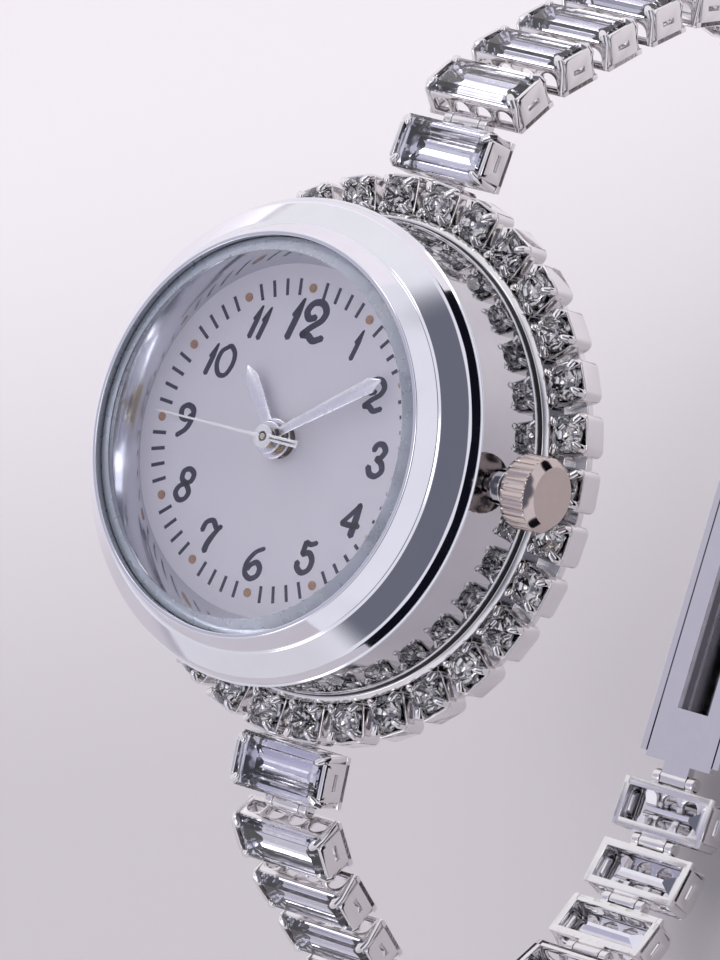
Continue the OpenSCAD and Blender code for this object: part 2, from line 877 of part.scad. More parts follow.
module baguette(grow) {
    intersection() {
        translate([-stone_long, 0, 0])
        rotate([90, 0, 90])
        linear_extrude(2 * stone_long)
        polygon(step_profile(stone_short / 2, stone_short / 2 - 0.1, grow));
        translate([0, stone_short, 0])
        rotate([90, 0, 0])
        linear_extrude(2 * stone_short)
        polygon(step_profile(stone_long / 2, keel_in + 0.5, grow));
    }
}

// One arched window through a long wall
module arch(x) {
    translate([x, 0, 0])
    rotate([90, 0, 0])
    translate([0, 0, -5])
    linear_extrude(10)
    union() {
        translate([-arch_w / 2, arch_foot])
        square([arch_w, 0.3]);
        translate([0, arch_foot + 0.3])
        circle(r = arch_w / 2 - eps);
    }
}

// Metal setting of one link, with its middle at u = 0
module setting() {
    arch_step = 2 * plate_in / arch_count;
    difference() {
        union() {
            for (v = [-wall_out, wall_out - link_wall])
                translate([-plate_in, v, link_low])
                cube([2 * plate_in, link_wall, wall_h - link_low]);
            for (x = [-plate_out, plate_in])
                translate([x, -plate_w / 2, link_low])
                cube([link_wall, plate_w, plate_h]);
            for (v = [-wall_out, wall_out - rail_w])
                translate([-plate_in, v, link_low])
                cube([2 * plate_in, rail_w, rail_h / 2]);
            for (x = [-plate_out, plate_out - rail_w])
                translate([x, -wall_out, link_low])
                cube([rail_w, 2 * wall_out, rail_h / 2]);
            for (x = [-1, 1])
                for (v = [-1, 1])
                    translate([x * (plate_out - prong_r), v * (plate_w / 2 + 0.1), link_low])
                    cylinder(r = prong_r, h = plate_h + 0.05, $fn = 24);
        }
        baguette(fit);
        for (k = [0 : arch_count - 1])
            arch(-plate_in + (k + 0.5) * arch_step);
        translate([-10, -slot_l / 2, (link_low + plate_top_n) / 2 - slot_h / 2])
        cube([20, slot_l, slot_h]);
    }
}

// Eye that turns on the pin of the piece before it; its web reaches u = web_to
module eye(web_to) {
    difference() {
        union() {
            bar_x(eye_r, -eye_w / 2, eye_w / 2);
            translate([-eye_w / 2, 0, link_low])
            cube([eye_w, web_to, -link_low + eye_r * 0.5]);
        }
        bar_x(pin_r + play, -eye_w, eye_w);
        translate([-eye_w, -1, link_low - 1])
        cube([2 * eye_w, 1.05, 1 + eye_r * 0.5 - 0.2]);
    }
}

// Ears and pin at a link's far end
module ears() {
    ear_x = eye_w / 2 + play;
    back = pitch / 2 - wall_out;
    for (x = [-ear_x - ear_w, ear_x]) {
        bar_x_at(eye_r, x, x + ear_w);
        translate([x, -back - 0.1, -eye_r * 0.6])
        cube([ear_w, back + 0.1, eye_r * 1.2]);
    }
    bar_x(pin_r, -pin_span / 2, pin_span / 2);
}

module bar_x_at(r, x0, x1) {
    bar_x(r, x0, x1);
}

module link() {
    color("silver")
    union() {
        translate([0, pitch / 2, 0])
        setting();
        eye(pitch / 2 - wall_out + 0.1);
        translate([0, pitch, 0])
        ears();
    }
    color("lavender")
    translate([0, pitch / 2, 0])
    baguette(0);
}

// Puts a piece whose near hinge is its origin at hinge i of one side
module on_side(side, i, angle) {
    place = hinge_at(side, i);
    rotate(bracelet_twist)
    mirror([0, side < 0 ? 1 : 0, 0])
    translate([0, place[0], place[1]])
    rotate([-angle, 0, 0])
    children();
}

module stone_link(side, i) {
    on_side(side, i, lean(side, i))
    link();
}

// Clasp base: inner plate with the eye of the last link's pin and the cover's hinge pin
module clasp_base() {
    color("silver")
    on_side(-1, link_count, clasp_lean)
    union() {
        eye(1.2);
        difference() {
            translate([-base_w / 2, base_start, link_low])
            cube([base_w, clasp_len - base_start, base_t]);
            translate([-base_w / 2 + base_side, base_end, link_low - 1])
            cube([base_w - 2 * base_side, clasp_len - 2 * base_end, 3]);
        }
        for (x = [-base_w / 2 + play, base_w / 2 - cheek_w - play])
            translate([x, cover_hinge_u, 0])
            rotate([90, 0, 90])
            linear_extrude(cheek_w)
            polygon(concat(
                [[-cheek_r, link_low + base_t / 2], [cheek_r, link_low + base_t / 2]],
                [for (a = [0 : 15 : 180]) [cheek_r * cos(a), cover_hinge_n + cheek_r * sin(a)]]));
        translate([0, cover_hinge_u, cover_hinge_n])
        bar_x(cover_pin_r, -clasp_w / 2 + 0.05, clasp_w / 2 - 0.05);
    }
}

// Clasp cover: a channel that folds down over the base and turns on the base's pin;
// its top stops short of the pin, so that it can swing back over the end loop
module clasp_cover() {
    side_low = link_low;
    color("whitesmoke")
    on_side(-1, link_count, clasp_lean)
    difference() {
        intersection() {
            translate([-clasp_w / 2, cover_start, side_low])
            cube([clasp_w, clasp_len - cover_start, cover_top - side_low]);
            translate([-clasp_w, 0, 0])
            rotate([90, 0, 90])
            linear_extrude(2 * clasp_w)
            union() {
                translate([cover_start, side_low])
                square([cover_hinge_u - cover_start, cover_top - side_low]);
                translate([cover_hinge_u, cover_hinge_n])
                circle(r = cover_hinge_n - side_low);
                translate([cover_hinge_u, cover_hinge_n])
                square([0.55, cover_top - cover_hinge_n]);
            }
        }
        translate([-clasp_w / 2 + clasp_wall, cover_start - 1, side_low - 1])
        cube([clasp_w - 2 * clasp_wall, clasp_len + 2, cover_in - side_low + 1]);
        translate([-clasp_w / 2 + clasp_wall, cover_hinge_u - cover_notch, side_low - 1])
        cube([clasp_w - 2 * clasp_wall, clasp_len, cover_top - side_low + 2]);
        translate([0, cover_hinge_u, cover_hinge_n])
        bar_x(cover_pin_r + play, -clasp_w, clasp_w);
    }
}

// End loop of the upper side: a flat wire loop on the last link's pin
module end_loop() {
    loop_w = eye_w + 2 * loop_wire;
    color("silver")
    on_side(1, link_count, loop_lean)
    union() {
        eye(1.1);
        translate([0, 0, link_low])
        difference() {
            translate([-loop_w / 2, 0.7, 0])
            cube([loop_w, loop_len - 0.7, 0.6]);
            translate([-eye_w / 2, 0.7 + loop_wire, -1])
            cube([eye_w, loop_len - 0.7 - 2 * loop_wire, 3]);
        }
    }
}

case_body();
bezel();
crystal();
inner_ring();
dial();
movement_holder();
main_plate();
train_bridge();
battery();
coil();
stator();
circuit_board();
case_back();
back_gasket();
stone_ring();
ring_stones();
hour_hand();
minute_hand();
second_hand();
rotor();
fifth_wheel();
seconds_wheel();
third_wheel();
centre_wheel();
cannon_pinion();
minute_wheel();
hour_wheel();
setting_lever();
crown();
stem();
crown_gasket();
stone_link(1, 0);  // upper_link_01
stone_link(1, 1);  // upper_link_02
stone_link(1, 2);  // upper_link_03
stone_link(1, 3);  // upper_link_04
stone_link(1, 4);  // upper_link_05
stone_link(1, 5);  // upper_link_06
stone_link(1, 6);  // upper_link_07
stone_link(1, 7);  // upper_link_08
stone_link(1, 8);  // upper_link_09
stone_link(1, 9);  // upper_link_10
stone_link(1, 10);  // upper_link_11
stone_link(1, 11);  // upper_link_12
stone_link(1, 12);  // upper_link_13
stone_link(-1, 0);  // lower_link_01
stone_link(-1, 1);  // lower_link_02
stone_link(-1, 2);  // lower_link_03
stone_link(-1, 3);  // lower_link_04
stone_link(-1, 4);  // lower_link_05
stone_link(-1, 5);  // lower_link_06
stone_link(-1, 6);  // lower_link_07
stone_link(-1, 7);  // lower_link_08
stone_link(-1, 8);  // lower_link_09
stone_link(-1, 9);  // lower_link_10
stone_link(-1, 10);  // lower_link_11
stone_link(-1, 11);  // lower_link_12
stone_link(-1, 12);  // lower_link_13
clasp_base();
clasp_cover();
end_loop();
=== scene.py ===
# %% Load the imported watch
import json
import math

import bmesh
import bpy
from mathutils import Matrix, Vector


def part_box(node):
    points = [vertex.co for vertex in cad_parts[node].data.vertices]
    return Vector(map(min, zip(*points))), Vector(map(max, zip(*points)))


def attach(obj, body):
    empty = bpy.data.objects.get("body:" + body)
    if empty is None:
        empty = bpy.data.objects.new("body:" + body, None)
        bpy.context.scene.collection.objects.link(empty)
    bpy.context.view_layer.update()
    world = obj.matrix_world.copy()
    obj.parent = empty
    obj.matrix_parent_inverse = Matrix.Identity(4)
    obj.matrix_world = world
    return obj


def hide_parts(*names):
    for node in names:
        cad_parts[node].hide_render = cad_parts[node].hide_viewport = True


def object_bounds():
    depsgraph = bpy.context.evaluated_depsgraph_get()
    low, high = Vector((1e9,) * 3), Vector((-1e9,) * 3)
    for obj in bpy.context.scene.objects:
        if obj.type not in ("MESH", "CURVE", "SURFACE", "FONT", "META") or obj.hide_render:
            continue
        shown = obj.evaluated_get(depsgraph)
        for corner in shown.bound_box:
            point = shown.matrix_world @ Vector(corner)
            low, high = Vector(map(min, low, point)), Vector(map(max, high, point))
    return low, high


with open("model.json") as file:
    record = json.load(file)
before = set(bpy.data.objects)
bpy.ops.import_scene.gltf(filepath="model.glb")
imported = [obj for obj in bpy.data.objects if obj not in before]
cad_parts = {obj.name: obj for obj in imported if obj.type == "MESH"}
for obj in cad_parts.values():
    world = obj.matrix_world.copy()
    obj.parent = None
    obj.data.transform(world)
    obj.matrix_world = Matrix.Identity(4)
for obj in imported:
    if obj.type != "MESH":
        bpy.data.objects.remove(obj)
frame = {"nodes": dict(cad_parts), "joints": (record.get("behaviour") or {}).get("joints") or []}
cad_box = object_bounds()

# %% [markdown]
# A small polished dress watch on a bracelet of baguette stones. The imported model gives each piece
# its place, in metres, and its body. We think in millimetres, because that is how a watch is
# measured, and scale every mesh once, at the end of its making.

# %% Units
MM = 0.001
print("the watch is", [round((high - low) / MM, 1) for low, high in zip(*cad_box)], "mm")

# %% [markdown]
# The camera stands where the photographer stood: 40 cm away, a little above and to the right of
# the watch, with a long lens, rolled a few degrees. The numbers come from fitting the twelve
# hour dots, the bezel and the black seal line to the photograph. The Standard view shows a
# strength of 1 as white and leaves contrast as it is.

# %% Camera
PHOTO_H = 960
FOCAL_PX = 7651
SENSOR_MM = 36
CAMERA_AT = Vector((252.76, -6.52, 317.99)) * MM
CAMERA_RIGHT = Vector((0.7661, 0.2123, -0.6067))
CAMERA_UP = Vector((-0.1579, 0.9771, 0.1426))


def placed(name, data):
    """A new object in the scene."""
    thing = bpy.data.objects.new(name, data)
    bpy.context.scene.collection.objects.link(thing)
    return thing


camera = placed("camera", bpy.data.cameras.new("camera"))
back = CAMERA_RIGHT.cross(CAMERA_UP).normalized()
camera.matrix_world = Matrix.Translation(CAMERA_AT) @ Matrix(
    (CAMERA_RIGHT.normalized(), back.cross(CAMERA_RIGHT).normalized(), back)).transposed().to_4x4()
camera.data.sensor_fit = "AUTO"
camera.data.sensor_width = SENSOR_MM
camera.data.lens = FOCAL_PX * SENSOR_MM / PHOTO_H
camera.data.clip_start = 0.01
camera.data.clip_end = 20
bpy.context.scene.camera = camera
bpy.context.scene.view_settings.view_transform = "Standard"
print("camera lens", round(camera.data.lens, 1), "mm")

# %% [markdown]
# The room, the paper and the finishes are all node trees made of the same few steps, so those
# steps are functions. `node` makes a node in a tree, and `link` joins two of its sockets.

# %% Node helpers
def ranged(node, link, source, low, high, start=0.3, stop=0.7, smooth=False):
    """A value that goes from start to stop, spread over low to high."""
    spread = node("ShaderNodeMapRange")
    if smooth:
        spread.interpolation_type = "SMOOTHSTEP"
    for name, value in (("From Min", start), ("From Max", stop), ("To Min", low), ("To Max", high)):
        spread.inputs[name].default_value = value
    link(source, spread.inputs["Value"])
    return spread.outputs["Result"]


def mixed(node, link, share, first, second):
    """Two colours mixed by a share; the first may also come from another node."""
    mix = node("ShaderNodeMix")
    mix.data_type = "RGBA"
    mix.inputs["B"].default_value = (*second, 1)
    if isinstance(first, tuple):
        mix.inputs["A"].default_value = (*first, 1)
    else:
        link(first, mix.inputs["A"])
    link(share, mix.inputs["Factor"])
    return mix.outputs["Result"]


def distance_along(node, link, place, direction):
    """How far a place lies along a direction."""
    product = node("ShaderNodeVectorMath")
    product.operation = "DOT_PRODUCT"
    product.inputs[1].default_value = direction
    link(place, product.inputs[0])
    return product.outputs["Value"]


# %% [markdown]
# Polished metal shows nothing but its surroundings, so the studio matters as much as the
# finishes. The room is a plain lavender grey with soft round patches of light and dark, each
# with a direction and two half widths in degrees. A row of slate patches stands high on the
# crown's side, with a row of near-black ones low on the same side. They give the bezel its grey
# and its black band. Windows behind 12 and 6 o'clock and overhead shade the rest, and three
# small sparks give the cut stones something to flash with. An image of a real studio would do
# too, but each of these patches can be aimed at the surface that needs it.

# %% Room light
ROOM_GREY = (0.83, 0.82, 0.91)
PALE_BACKDROP = (0.80, 0.77, 0.81)
SPARK = (3.4, 3.35, 3.4)
SLATE = (0.15, 0.155, 0.20)
NEAR_BLACK = (0.005, 0.005, 0.01)
PATCHES = (
    ("slate_east", (0.67, 0.00, 0.74), 15, 25, SLATE),
    ("slate_north_east", (0.51, 0.43, 0.74), 14, 24, SLATE),
    ("slate_south_east", (0.51, -0.43, 0.74), 14, 24, SLATE),
    ("slate_north", (0.25, 0.70, 0.67), 9, 20, SLATE),
    ("slate_south", (0.25, -0.70, 0.67), 9, 20, SLATE),
    ("black_east", (0.94, 0.00, -0.34), 16, 21, NEAR_BLACK),
    ("black_north_east", (0.79, 0.52, -0.34), 16, 21, NEAR_BLACK),
    ("black_south_east", (0.79, -0.52, -0.34), 16, 21, NEAR_BLACK),
    ("black_north", (0.41, 0.83, -0.38), 14, 22, NEAR_BLACK),
    ("black_south", (0.41, -0.83, -0.38), 14, 22, NEAR_BLACK),
    ("top_window", (-0.60, 0.00, 0.80), 12, 30, (0.50, 0.49, 0.62)),
    ("white_window", (-0.62, 0.76, 0.18), 24, 58, (0.90, 0.89, 0.94)),
    ("low_window", (-0.45, -0.85, 0.25), 15, 42, (0.72, 0.70, 0.76)),
    ("spark_north", (-0.15, 0.62, 0.77), 4, 8, SPARK),
    ("spark_south", (-0.35, -0.55, 0.76), 4, 8, SPARK),
    ("spark_top", (0.02, 0.05, 1.00), 5, 9, SPARK))


def build_room():
    """The world: the patches over the room's grey, and a pale backdrop for the camera alone."""
    world = bpy.data.worlds.new("studio")
    world.use_nodes = True
    world.node_tree.nodes.clear()
    node = world.node_tree.nodes.new
    link = world.node_tree.links.new
    direction = node("ShaderNodeTexCoord").outputs["Generated"]
    sky = ROOM_GREY
    for _, aim, inner, outer, colour in PATCHES:
        facing = distance_along(node, link, direction, Vector(aim).normalized())
        share = ranged(node, link, facing, 0, 1, math.cos(math.radians(outer)),
                       math.cos(math.radians(inner)), smooth=True)
        sky = mixed(node, link, share, sky, colour)
    seen = node("ShaderNodeLightPath").outputs["Is Camera Ray"]
    light = node("ShaderNodeBackground")
    link(mixed(node, link, seen, sky, PALE_BACKDROP), light.inputs["Color"])
    link(light.outputs["Background"], node("ShaderNodeOutputWorld").inputs["Surface"])
    bpy.context.scene.world = world


build_room()
print("patches of light", [patch[0] for patch in PATCHES])

# %% [markdown]
# Two soft lamps fill the shade on paint, paper and the insides of the cups. Polish doesn't mirror
# them, so they add no highlight of their own.

# %% Lamps
def softbox(name, place, width, height, power, colour):
    """A rectangular lamp at a place in metres, facing the watch."""
    lamp = bpy.data.lights.new(name, "AREA")
    lamp.shape = "RECTANGLE"
    lamp.size = width
    lamp.size_y = height
    lamp.energy = power
    lamp.color = colour
    thing = placed(name, lamp)
    thing.location = place
    thing.rotation_euler = (-Vector(place)).to_track_quat("-Z", "Y").to_euler()
    thing.visible_glossy = False


softbox("key", (-0.42, 0.52, 0.30), 0.5, 0.5, 3.1, (1.0, 0.99, 1.0))
softbox("low_fill", (-0.25, -0.45, 0.38), 0.4, 0.3, 0.6, (0.96, 0.96, 1.0))

# %% [markdown]
# The floor is a sheet of pale paper. It ends a little beyond the crown, with its corners cut
# off, where the photograph's dark side begins, so that polished metal facing that way shows the
# dark room. A floor without an end would be simpler, but it would light that side. The paper
# glows faintly to the camera and in reflections, more so towards 12 o'clock, and keeps the
# watch's shadow.

# %% Floor
FLOOR_DROP = 0.0004
FLOOR_WEST = -1.5
FLOOR_EAST = 0.075
FLOOR_HALF_Y = 1.5
CUT_X = 0.03
CUT_Y = 0.075
PAPER = (0.565, 0.53, 0.545)
GLOW_NEAR = 0.04
GLOW_FAR = 0.32
GLOW_FROM = -0.010
GLOW_TO = 0.035
GLOW_ALONG = (-0.30, 0.95, 0)
GLOW_COLOUR = (1.0, 0.97, 1.0)


def new_material(name):
    """A new material with its shader, its node maker and its linker."""
    material = bpy.data.materials.new(name)
    material.use_nodes = True
    tree = material.node_tree
    return material, tree.nodes["Principled BSDF"], tree.nodes.new, tree.links.new


def calculated(node, link, operation, first, second):
    """The sum or the product of two values."""
    step = node("ShaderNodeMath")
    step.operation = operation
    link(first, step.inputs[0])
    link(second, step.inputs[1])
    return step.outputs["Value"]


def paper_material():
    """Pale matt paper whose glow fades softly from 12 o'clock towards 6."""
    paper, shader, node, link = new_material("pale_paper")
    shader.inputs["Base Color"].default_value = (*PAPER, 1)
    shader.inputs["Roughness"].default_value = 0.9
    shader.inputs["Specular IOR Level"].default_value = 0.1
    shader.inputs["Emission Color"].default_value = (*GLOW_COLOUR, 1)
    far = distance_along(node, link, node("ShaderNodeTexCoord").outputs["Object"], GLOW_ALONG)
    glow = ranged(node, link, far, GLOW_NEAR, GLOW_FAR, GLOW_FROM, GLOW_TO, smooth=True)
    ray = node("ShaderNodeLightPath").outputs
    seen = calculated(node, link, "ADD", ray["Is Camera Ray"], ray["Is Glossy Ray"])
    seen = calculated(node, link, "ADD", seen, ray["Is Transmission Ray"])
    link(calculated(node, link, "MULTIPLY", seen, glow), shader.inputs["Emission Strength"])
    return paper


def build_floor():
    """The sheet of paper just under the bracelet."""
    height = cad_box[0].z - FLOOR_DROP
    mesh = bpy.data.meshes.new("floor")
    half = [(FLOOR_EAST, CUT_X), (CUT_X, CUT_Y), (CUT_X, FLOOR_HALF_Y), (FLOOR_WEST, FLOOR_HALF_Y)]
    corners = half + [(x, -y) for x, y in reversed(half)]
    mesh.from_pydata([(x, y, height) for x, y in corners], [], [tuple(range(len(corners)))])
    floor = placed("floor", mesh)
    mesh.materials.append(paper_material())
    print("floor at", round(height / MM, 2), "mm")


build_floor()

# %% [markdown]
# Finishes. Plating is never perfectly even: under a loupe it has faint haze patches and a fine
# orange peel, and ground steel has fine lines. Painted images could show that. Here it comes
# from noise at a size given in millimetres, so it holds from any side and at any zoom.

# %% Kinds of finish
SMEAR_MM = 1.2


def noise_of(node, link, size_mm, detail=3, stretch=(1, 1, 1)):
    """Noise with blotches of a size in millimetres, fixed to the piece."""
    place = node("ShaderNodeTexCoord")
    scale = node("ShaderNodeMapping")
    scale.inputs["Scale"].default_value = stretch
    noise = node("ShaderNodeTexNoise")
    noise.inputs["Scale"].default_value = 1 / (size_mm * MM)
    noise.inputs["Detail"].default_value = detail
    link(place.outputs["Object"], scale.inputs["Vector"])
    link(scale.outputs["Vector"], noise.inputs["Vector"])
    return noise.outputs["Fac"]


def tinted(node, link, source, first, second):
    """A colour that drifts between two."""
    return mixed(node, link, ranged(node, link, source, 0, 1), first, second)


def bumped(node, link, source, height_mm, shader):
    """Relief of a height in millimetres."""
    bump = node("ShaderNodeBump")
    bump.inputs["Distance"].default_value = height_mm * MM
    bump.inputs["Strength"].default_value = 1
    link(source, bump.inputs["Height"])
    link(bump.outputs["Normal"], shader.inputs["Normal"])


def metal(name, colour, haze=(0.03, 0.10), patch_mm=1.5, grain_mm=0.12, relief_mm=0.0004,
          drift=0.96, stretch=(1, 1, 1)):
    """Polished or brushed metal: haze patches, fine grain and a slight drift of colour."""
    material, shader, node, link = new_material(name)
    shader.inputs["Metallic"].default_value = 1
    patches = noise_of(node, link, patch_mm)
    darker = tuple(c * drift for c in colour)
    link(tinted(node, link, patches, colour, darker), shader.inputs["Base Color"])
    link(ranged(node, link, patches, *haze), shader.inputs["Roughness"])
    bumped(node, link, noise_of(node, link, grain_mm, 2, stretch), relief_mm, shader)
    return material


def dull(name, colour, second, rough=(0.4, 0.6), patch_mm=0.8, grain_mm=0.1, relief_mm=0.002,
         sheen_level=0.4):
    """Paint, plastic, ink or rubber."""
    material, shader, node, link = new_material(name)
    shader.inputs["Specular IOR Level"].default_value = sheen_level
    patches = noise_of(node, link, patch_mm)
    link(tinted(node, link, patches, colour, second), shader.inputs["Base Color"])
    link(ranged(node, link, patches, *rough), shader.inputs["Roughness"])
    bumped(node, link, noise_of(node, link, grain_mm, 2), relief_mm, shader)
    return material


def clear(name, colour, bending, smear=(0.0, 0.02)):
    """Glass or cut stone: clear, with the faintest smears on its surface."""
    material, shader, node, link = new_material(name)
    shader.inputs["Base Color"].default_value = (*colour, 1)
    shader.inputs["Transmission Weight"].default_value = 1
    shader.inputs["IOR"].default_value = bending
    link(ranged(node, link, noise_of(node, link, SMEAR_MM), *smear), shader.inputs["Roughness"])
    return material


# %% [markdown]
# The watch's own finishes. The wall of the case is darker than the bezel, partly as chrome's own
# lower reflectance and partly as painted shade for the shadowed floor it mirrors. The crown's
# steel is warmer than both, and the foil behind the stones is what sends their light back.

# %% Finishes
# The case's chrome is darker than the bezel's, partly for real chrome's reflectance and partly as
# painted shade for the shadowed floor the wall mirrors.
chrome = metal("case_chrome_with_painted_shade", (0.64, 0.635, 0.655), haze=(0.02, 0.06))
bezel_chrome = metal("polished_bezel_chrome", (0.88, 0.885, 0.92), haze=(0.04, 0.10), patch_mm=2.5)
ring_chrome = metal("inner_ring_chrome", (0.64, 0.65, 0.71), haze=(0.04, 0.12))
plating = metal("silver_plating", (0.86, 0.84, 0.835), haze=(0.05, 0.14), patch_mm=0.9,
                grain_mm=0.08, relief_mm=0.0012)
foil = metal("stone_foil", (0.84, 0.83, 0.82), haze=(0.02, 0.08), patch_mm=0.5)
bright_foil = metal("baguette_foil", (0.88, 0.88, 0.93), haze=(0.03, 0.10), patch_mm=0.6)
steel = metal("crown_steel", (0.64, 0.55, 0.51), haze=(0.07, 0.14), patch_mm=0.5, grain_mm=0.05,
              relief_mm=0.001)
hand_metal = metal("hand_metal", (0.90, 0.90, 0.95), haze=(0.20, 0.32), patch_mm=0.6)
needle_metal = metal("needle_metal", (0.98, 0.98, 0.99), haze=(0.45, 0.55), patch_mm=0.6)
brass = metal("wheel_brass", (0.78, 0.62, 0.33), haze=(0.15, 0.3), patch_mm=0.5, grain_mm=0.06)
movement_steel = metal("movement_steel", (0.62, 0.63, 0.65), haze=(0.18, 0.32), patch_mm=0.6,
                       stretch=(1, 12, 1))
back_steel = metal("back_steel", (0.66, 0.67, 0.68), haze=(0.16, 0.30), patch_mm=0.8,
                   grain_mm=0.08, relief_mm=0.001, stretch=(1, 14, 1))
battery_steel = metal("battery_steel", (0.70, 0.71, 0.72), haze=(0.2, 0.35))
copper = metal("coil_copper", (0.75, 0.33, 0.17), haze=(0.15, 0.3), grain_mm=0.05,
               relief_mm=0.006, stretch=(1, 10, 10))
dial_paint = dull("dial_paint", (0.93, 0.905, 1.0), (0.91, 0.885, 0.98), rough=(0.35, 0.5),
                  patch_mm=2.5, relief_mm=0.0006)
ink = dull("navy_ink", (0.008, 0.008, 0.045), (0.014, 0.014, 0.065), patch_mm=0.25,
           relief_mm=0.002)
dot_paint = dull("gold_dot_paint", (0.56, 0.32, 0.20), (0.44, 0.24, 0.15), patch_mm=0.2,
                 grain_mm=0.06, relief_mm=0.01)
rubber = dull("black_rubber", (0.012, 0.012, 0.014), (0.02, 0.02, 0.022), rough=(0.45, 0.65))
holder_plastic = dull("holder_plastic", (0.78, 0.76, 0.70), (0.72, 0.70, 0.64))
board = dull("board_green", (0.03, 0.20, 0.09), (0.02, 0.14, 0.06), rough=(0.3, 0.5))
watch_glass = clear("watch_glass", (1.0, 1.0, 1.0), 1.5)
# The ground edge's roughness is real, but its half-clear blue-grey colour is a painted dark
# reflection of the band that the glass's thick edge shows.
ground_glass_painted_reflection = clear("ground_glass_edge_painted_reflection", (0.42, 0.46, 0.53), 1.5, smear=(0.22, 0.34))
ground_glass_painted_reflection.node_tree.nodes["Principled BSDF"].inputs["Transmission Weight"].default_value = 0.5
round_clear = clear("round_stone_clear", (0.985, 0.98, 0.975), 1.66)
baguette_clear = clear("baguette_clear", (0.97, 0.97, 1.0), 1.75)
print("finishes", len(bpy.data.materials))

# %% [markdown]
# Every carried-over solid gets a finish too, by its node's name. A node that the list doesn't
# name, such as a link, is plated.

# %% Finishes on the carried-over solids
NODE_FINISH = {node: finish for finish, nodes in (
    (brass, "main_plate fifth_wheel seconds_wheel third_wheel centre_wheel cannon_pinion "
            "minute_wheel hour_wheel"),
    (movement_steel, "train_bridge stator rotor setting_lever stem"),
    (battery_steel, "battery"), (copper, "coil"), (board, "circuit_board"),
    (holder_plastic, "movement_holder"), (rubber, "back_gasket crown_gasket"),
    (back_steel, "case_back"), (chrome, "case_body"), (bezel_chrome, "bezel"),
    (watch_glass, "crystal"), (ring_chrome, "inner_ring"), (dial_paint, "dial"),
    (hand_metal, "hour_hand minute_hand"), (needle_metal, "second_hand"),
    (steel, "crown"), (round_clear, "ring_stones")) for node in nodes.split()}
for node_name, node_object in frame["nodes"].items():
    node_object.data.materials.clear()
    node_object.data.materials.append(NODE_FINISH.get(node_name, plating))
print("dressed", len(frame["nodes"]), "solids")

# %% [markdown]
# Each piece starts as a bmesh, Blender's mesh for editing, because a script can build that point
# by point. When it is done, it turns into an object, rides its body and stands for its imported
# solid.

# %% Making a piece
def moved(solid, place):
    """The same bmesh, moved and turned by a matrix."""
    bmesh.ops.transform(solid, matrix=place, verts=solid.verts)
    return solid


def joined(parts):
    """Several bmeshes as one."""
    whole = bmesh.new()
    for part in parts:
        holder = bpy.data.meshes.new("holder")
        part.to_mesh(holder)
        part.free()
        whole.from_mesh(holder)
        bpy.data.meshes.remove(holder)
    return whole


def to_object(name, mesh_data, finish, crease):
    """Turns a bmesh in millimetres into a shaded object in metres; crease is in degrees."""
    bmesh.ops.recalc_face_normals(mesh_data, faces=mesh_data.faces)
    bmesh.ops.scale(mesh_data, vec=(MM, MM, MM), verts=mesh_data.verts)
    mesh = bpy.data.meshes.new(name)
    mesh_data.to_mesh(mesh)
    mesh_data.free()
    if crease:
        mesh.shade_smooth()
        mesh.set_sharp_from_angle(angle=math.radians(crease))
    for one in finish if isinstance(finish, list) else [finish]:
        mesh.materials.append(one)
    return placed(name, mesh)


def settle(thing, body, slot, *nodes):
    """A finished piece rides its body and stands for its CAD nodes; its slot is not used."""
    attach(thing, body)
    if nodes:
        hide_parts(*nodes)
    print(thing.name, "rides", body, "with", len(thing.data.polygons), "faces")
    return thing


# %% [markdown]
# Turned parts, such as the case, bezel and crown, are profiles spun about an axis. Real turned
# edges are never perfectly sharp, and it is the tiny round on each edge that catches the light,
# so the profile's corners are eased before it is spun.

# %% Turning on the lathe
def eased(points, radius=0.06, steps=4):
    """The outline with each corner rounded by a short curve; a third number sets its own radius."""
    rounded = []
    for index, point in enumerate(points):
        here = Vector(point[:2])
        before = Vector(points[index - 1][:2]) - here
        after = Vector(points[(index + 1) % len(points)][:2]) - here
        reach = point[2] if len(point) > 2 else radius
        cut = min(reach, 0.45 * before.length, 0.45 * after.length)
        if cut < 1e-4:
            rounded.append(here)
            continue
        start = here + before.normalized() * cut
        end = here + after.normalized() * cut
        for step in range(steps + 1):
            t = step / steps
            rounded.append(start * (1 - t) ** 2 + here * 2 * t * (1 - t) + end * t ** 2)
    return rounded


def spin(outline, turns=192, flute=None):
    """A closed outline of (radius, height) spun about Z."""
    solid = bmesh.new()
    columns = []
    for turn in range(turns):
        angle = 2 * math.pi * turn / turns
        column = []
        for radius, height in outline:
            r = flute(radius, height, angle) if flute else radius
            column.append(solid.verts.new((r * math.cos(angle), r * math.sin(angle), height)))
        columns.append(column)
    count = len(outline)
    for turn in range(turns):
        a, b = columns[turn], columns[(turn + 1) % turns]
        for k in range(count):
            n = (k + 1) % count
            if outline[k][0] + outline[n][0] > 1e-6:
                solid.faces.new((a[k], b[k], b[n], a[n]))
    bmesh.ops.remove_doubles(solid, verts=solid.verts, dist=1e-5)
    return solid


print("a square with eased corners has", len(eased([(0, 0), (1, 0), (1, 1), (0, 1)])), "points")

# %% [markdown]
# The case. Its wall is a plain polished cylinder, which works as a mirror for the ring of stones
# below it. The bezel has a steep inner slope, a crease, a broad outer slope, a narrow upright
# face and a thin lip. Each faces another part of the room, so they show as a white, a slate, a
# black and a white band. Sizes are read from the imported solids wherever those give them.

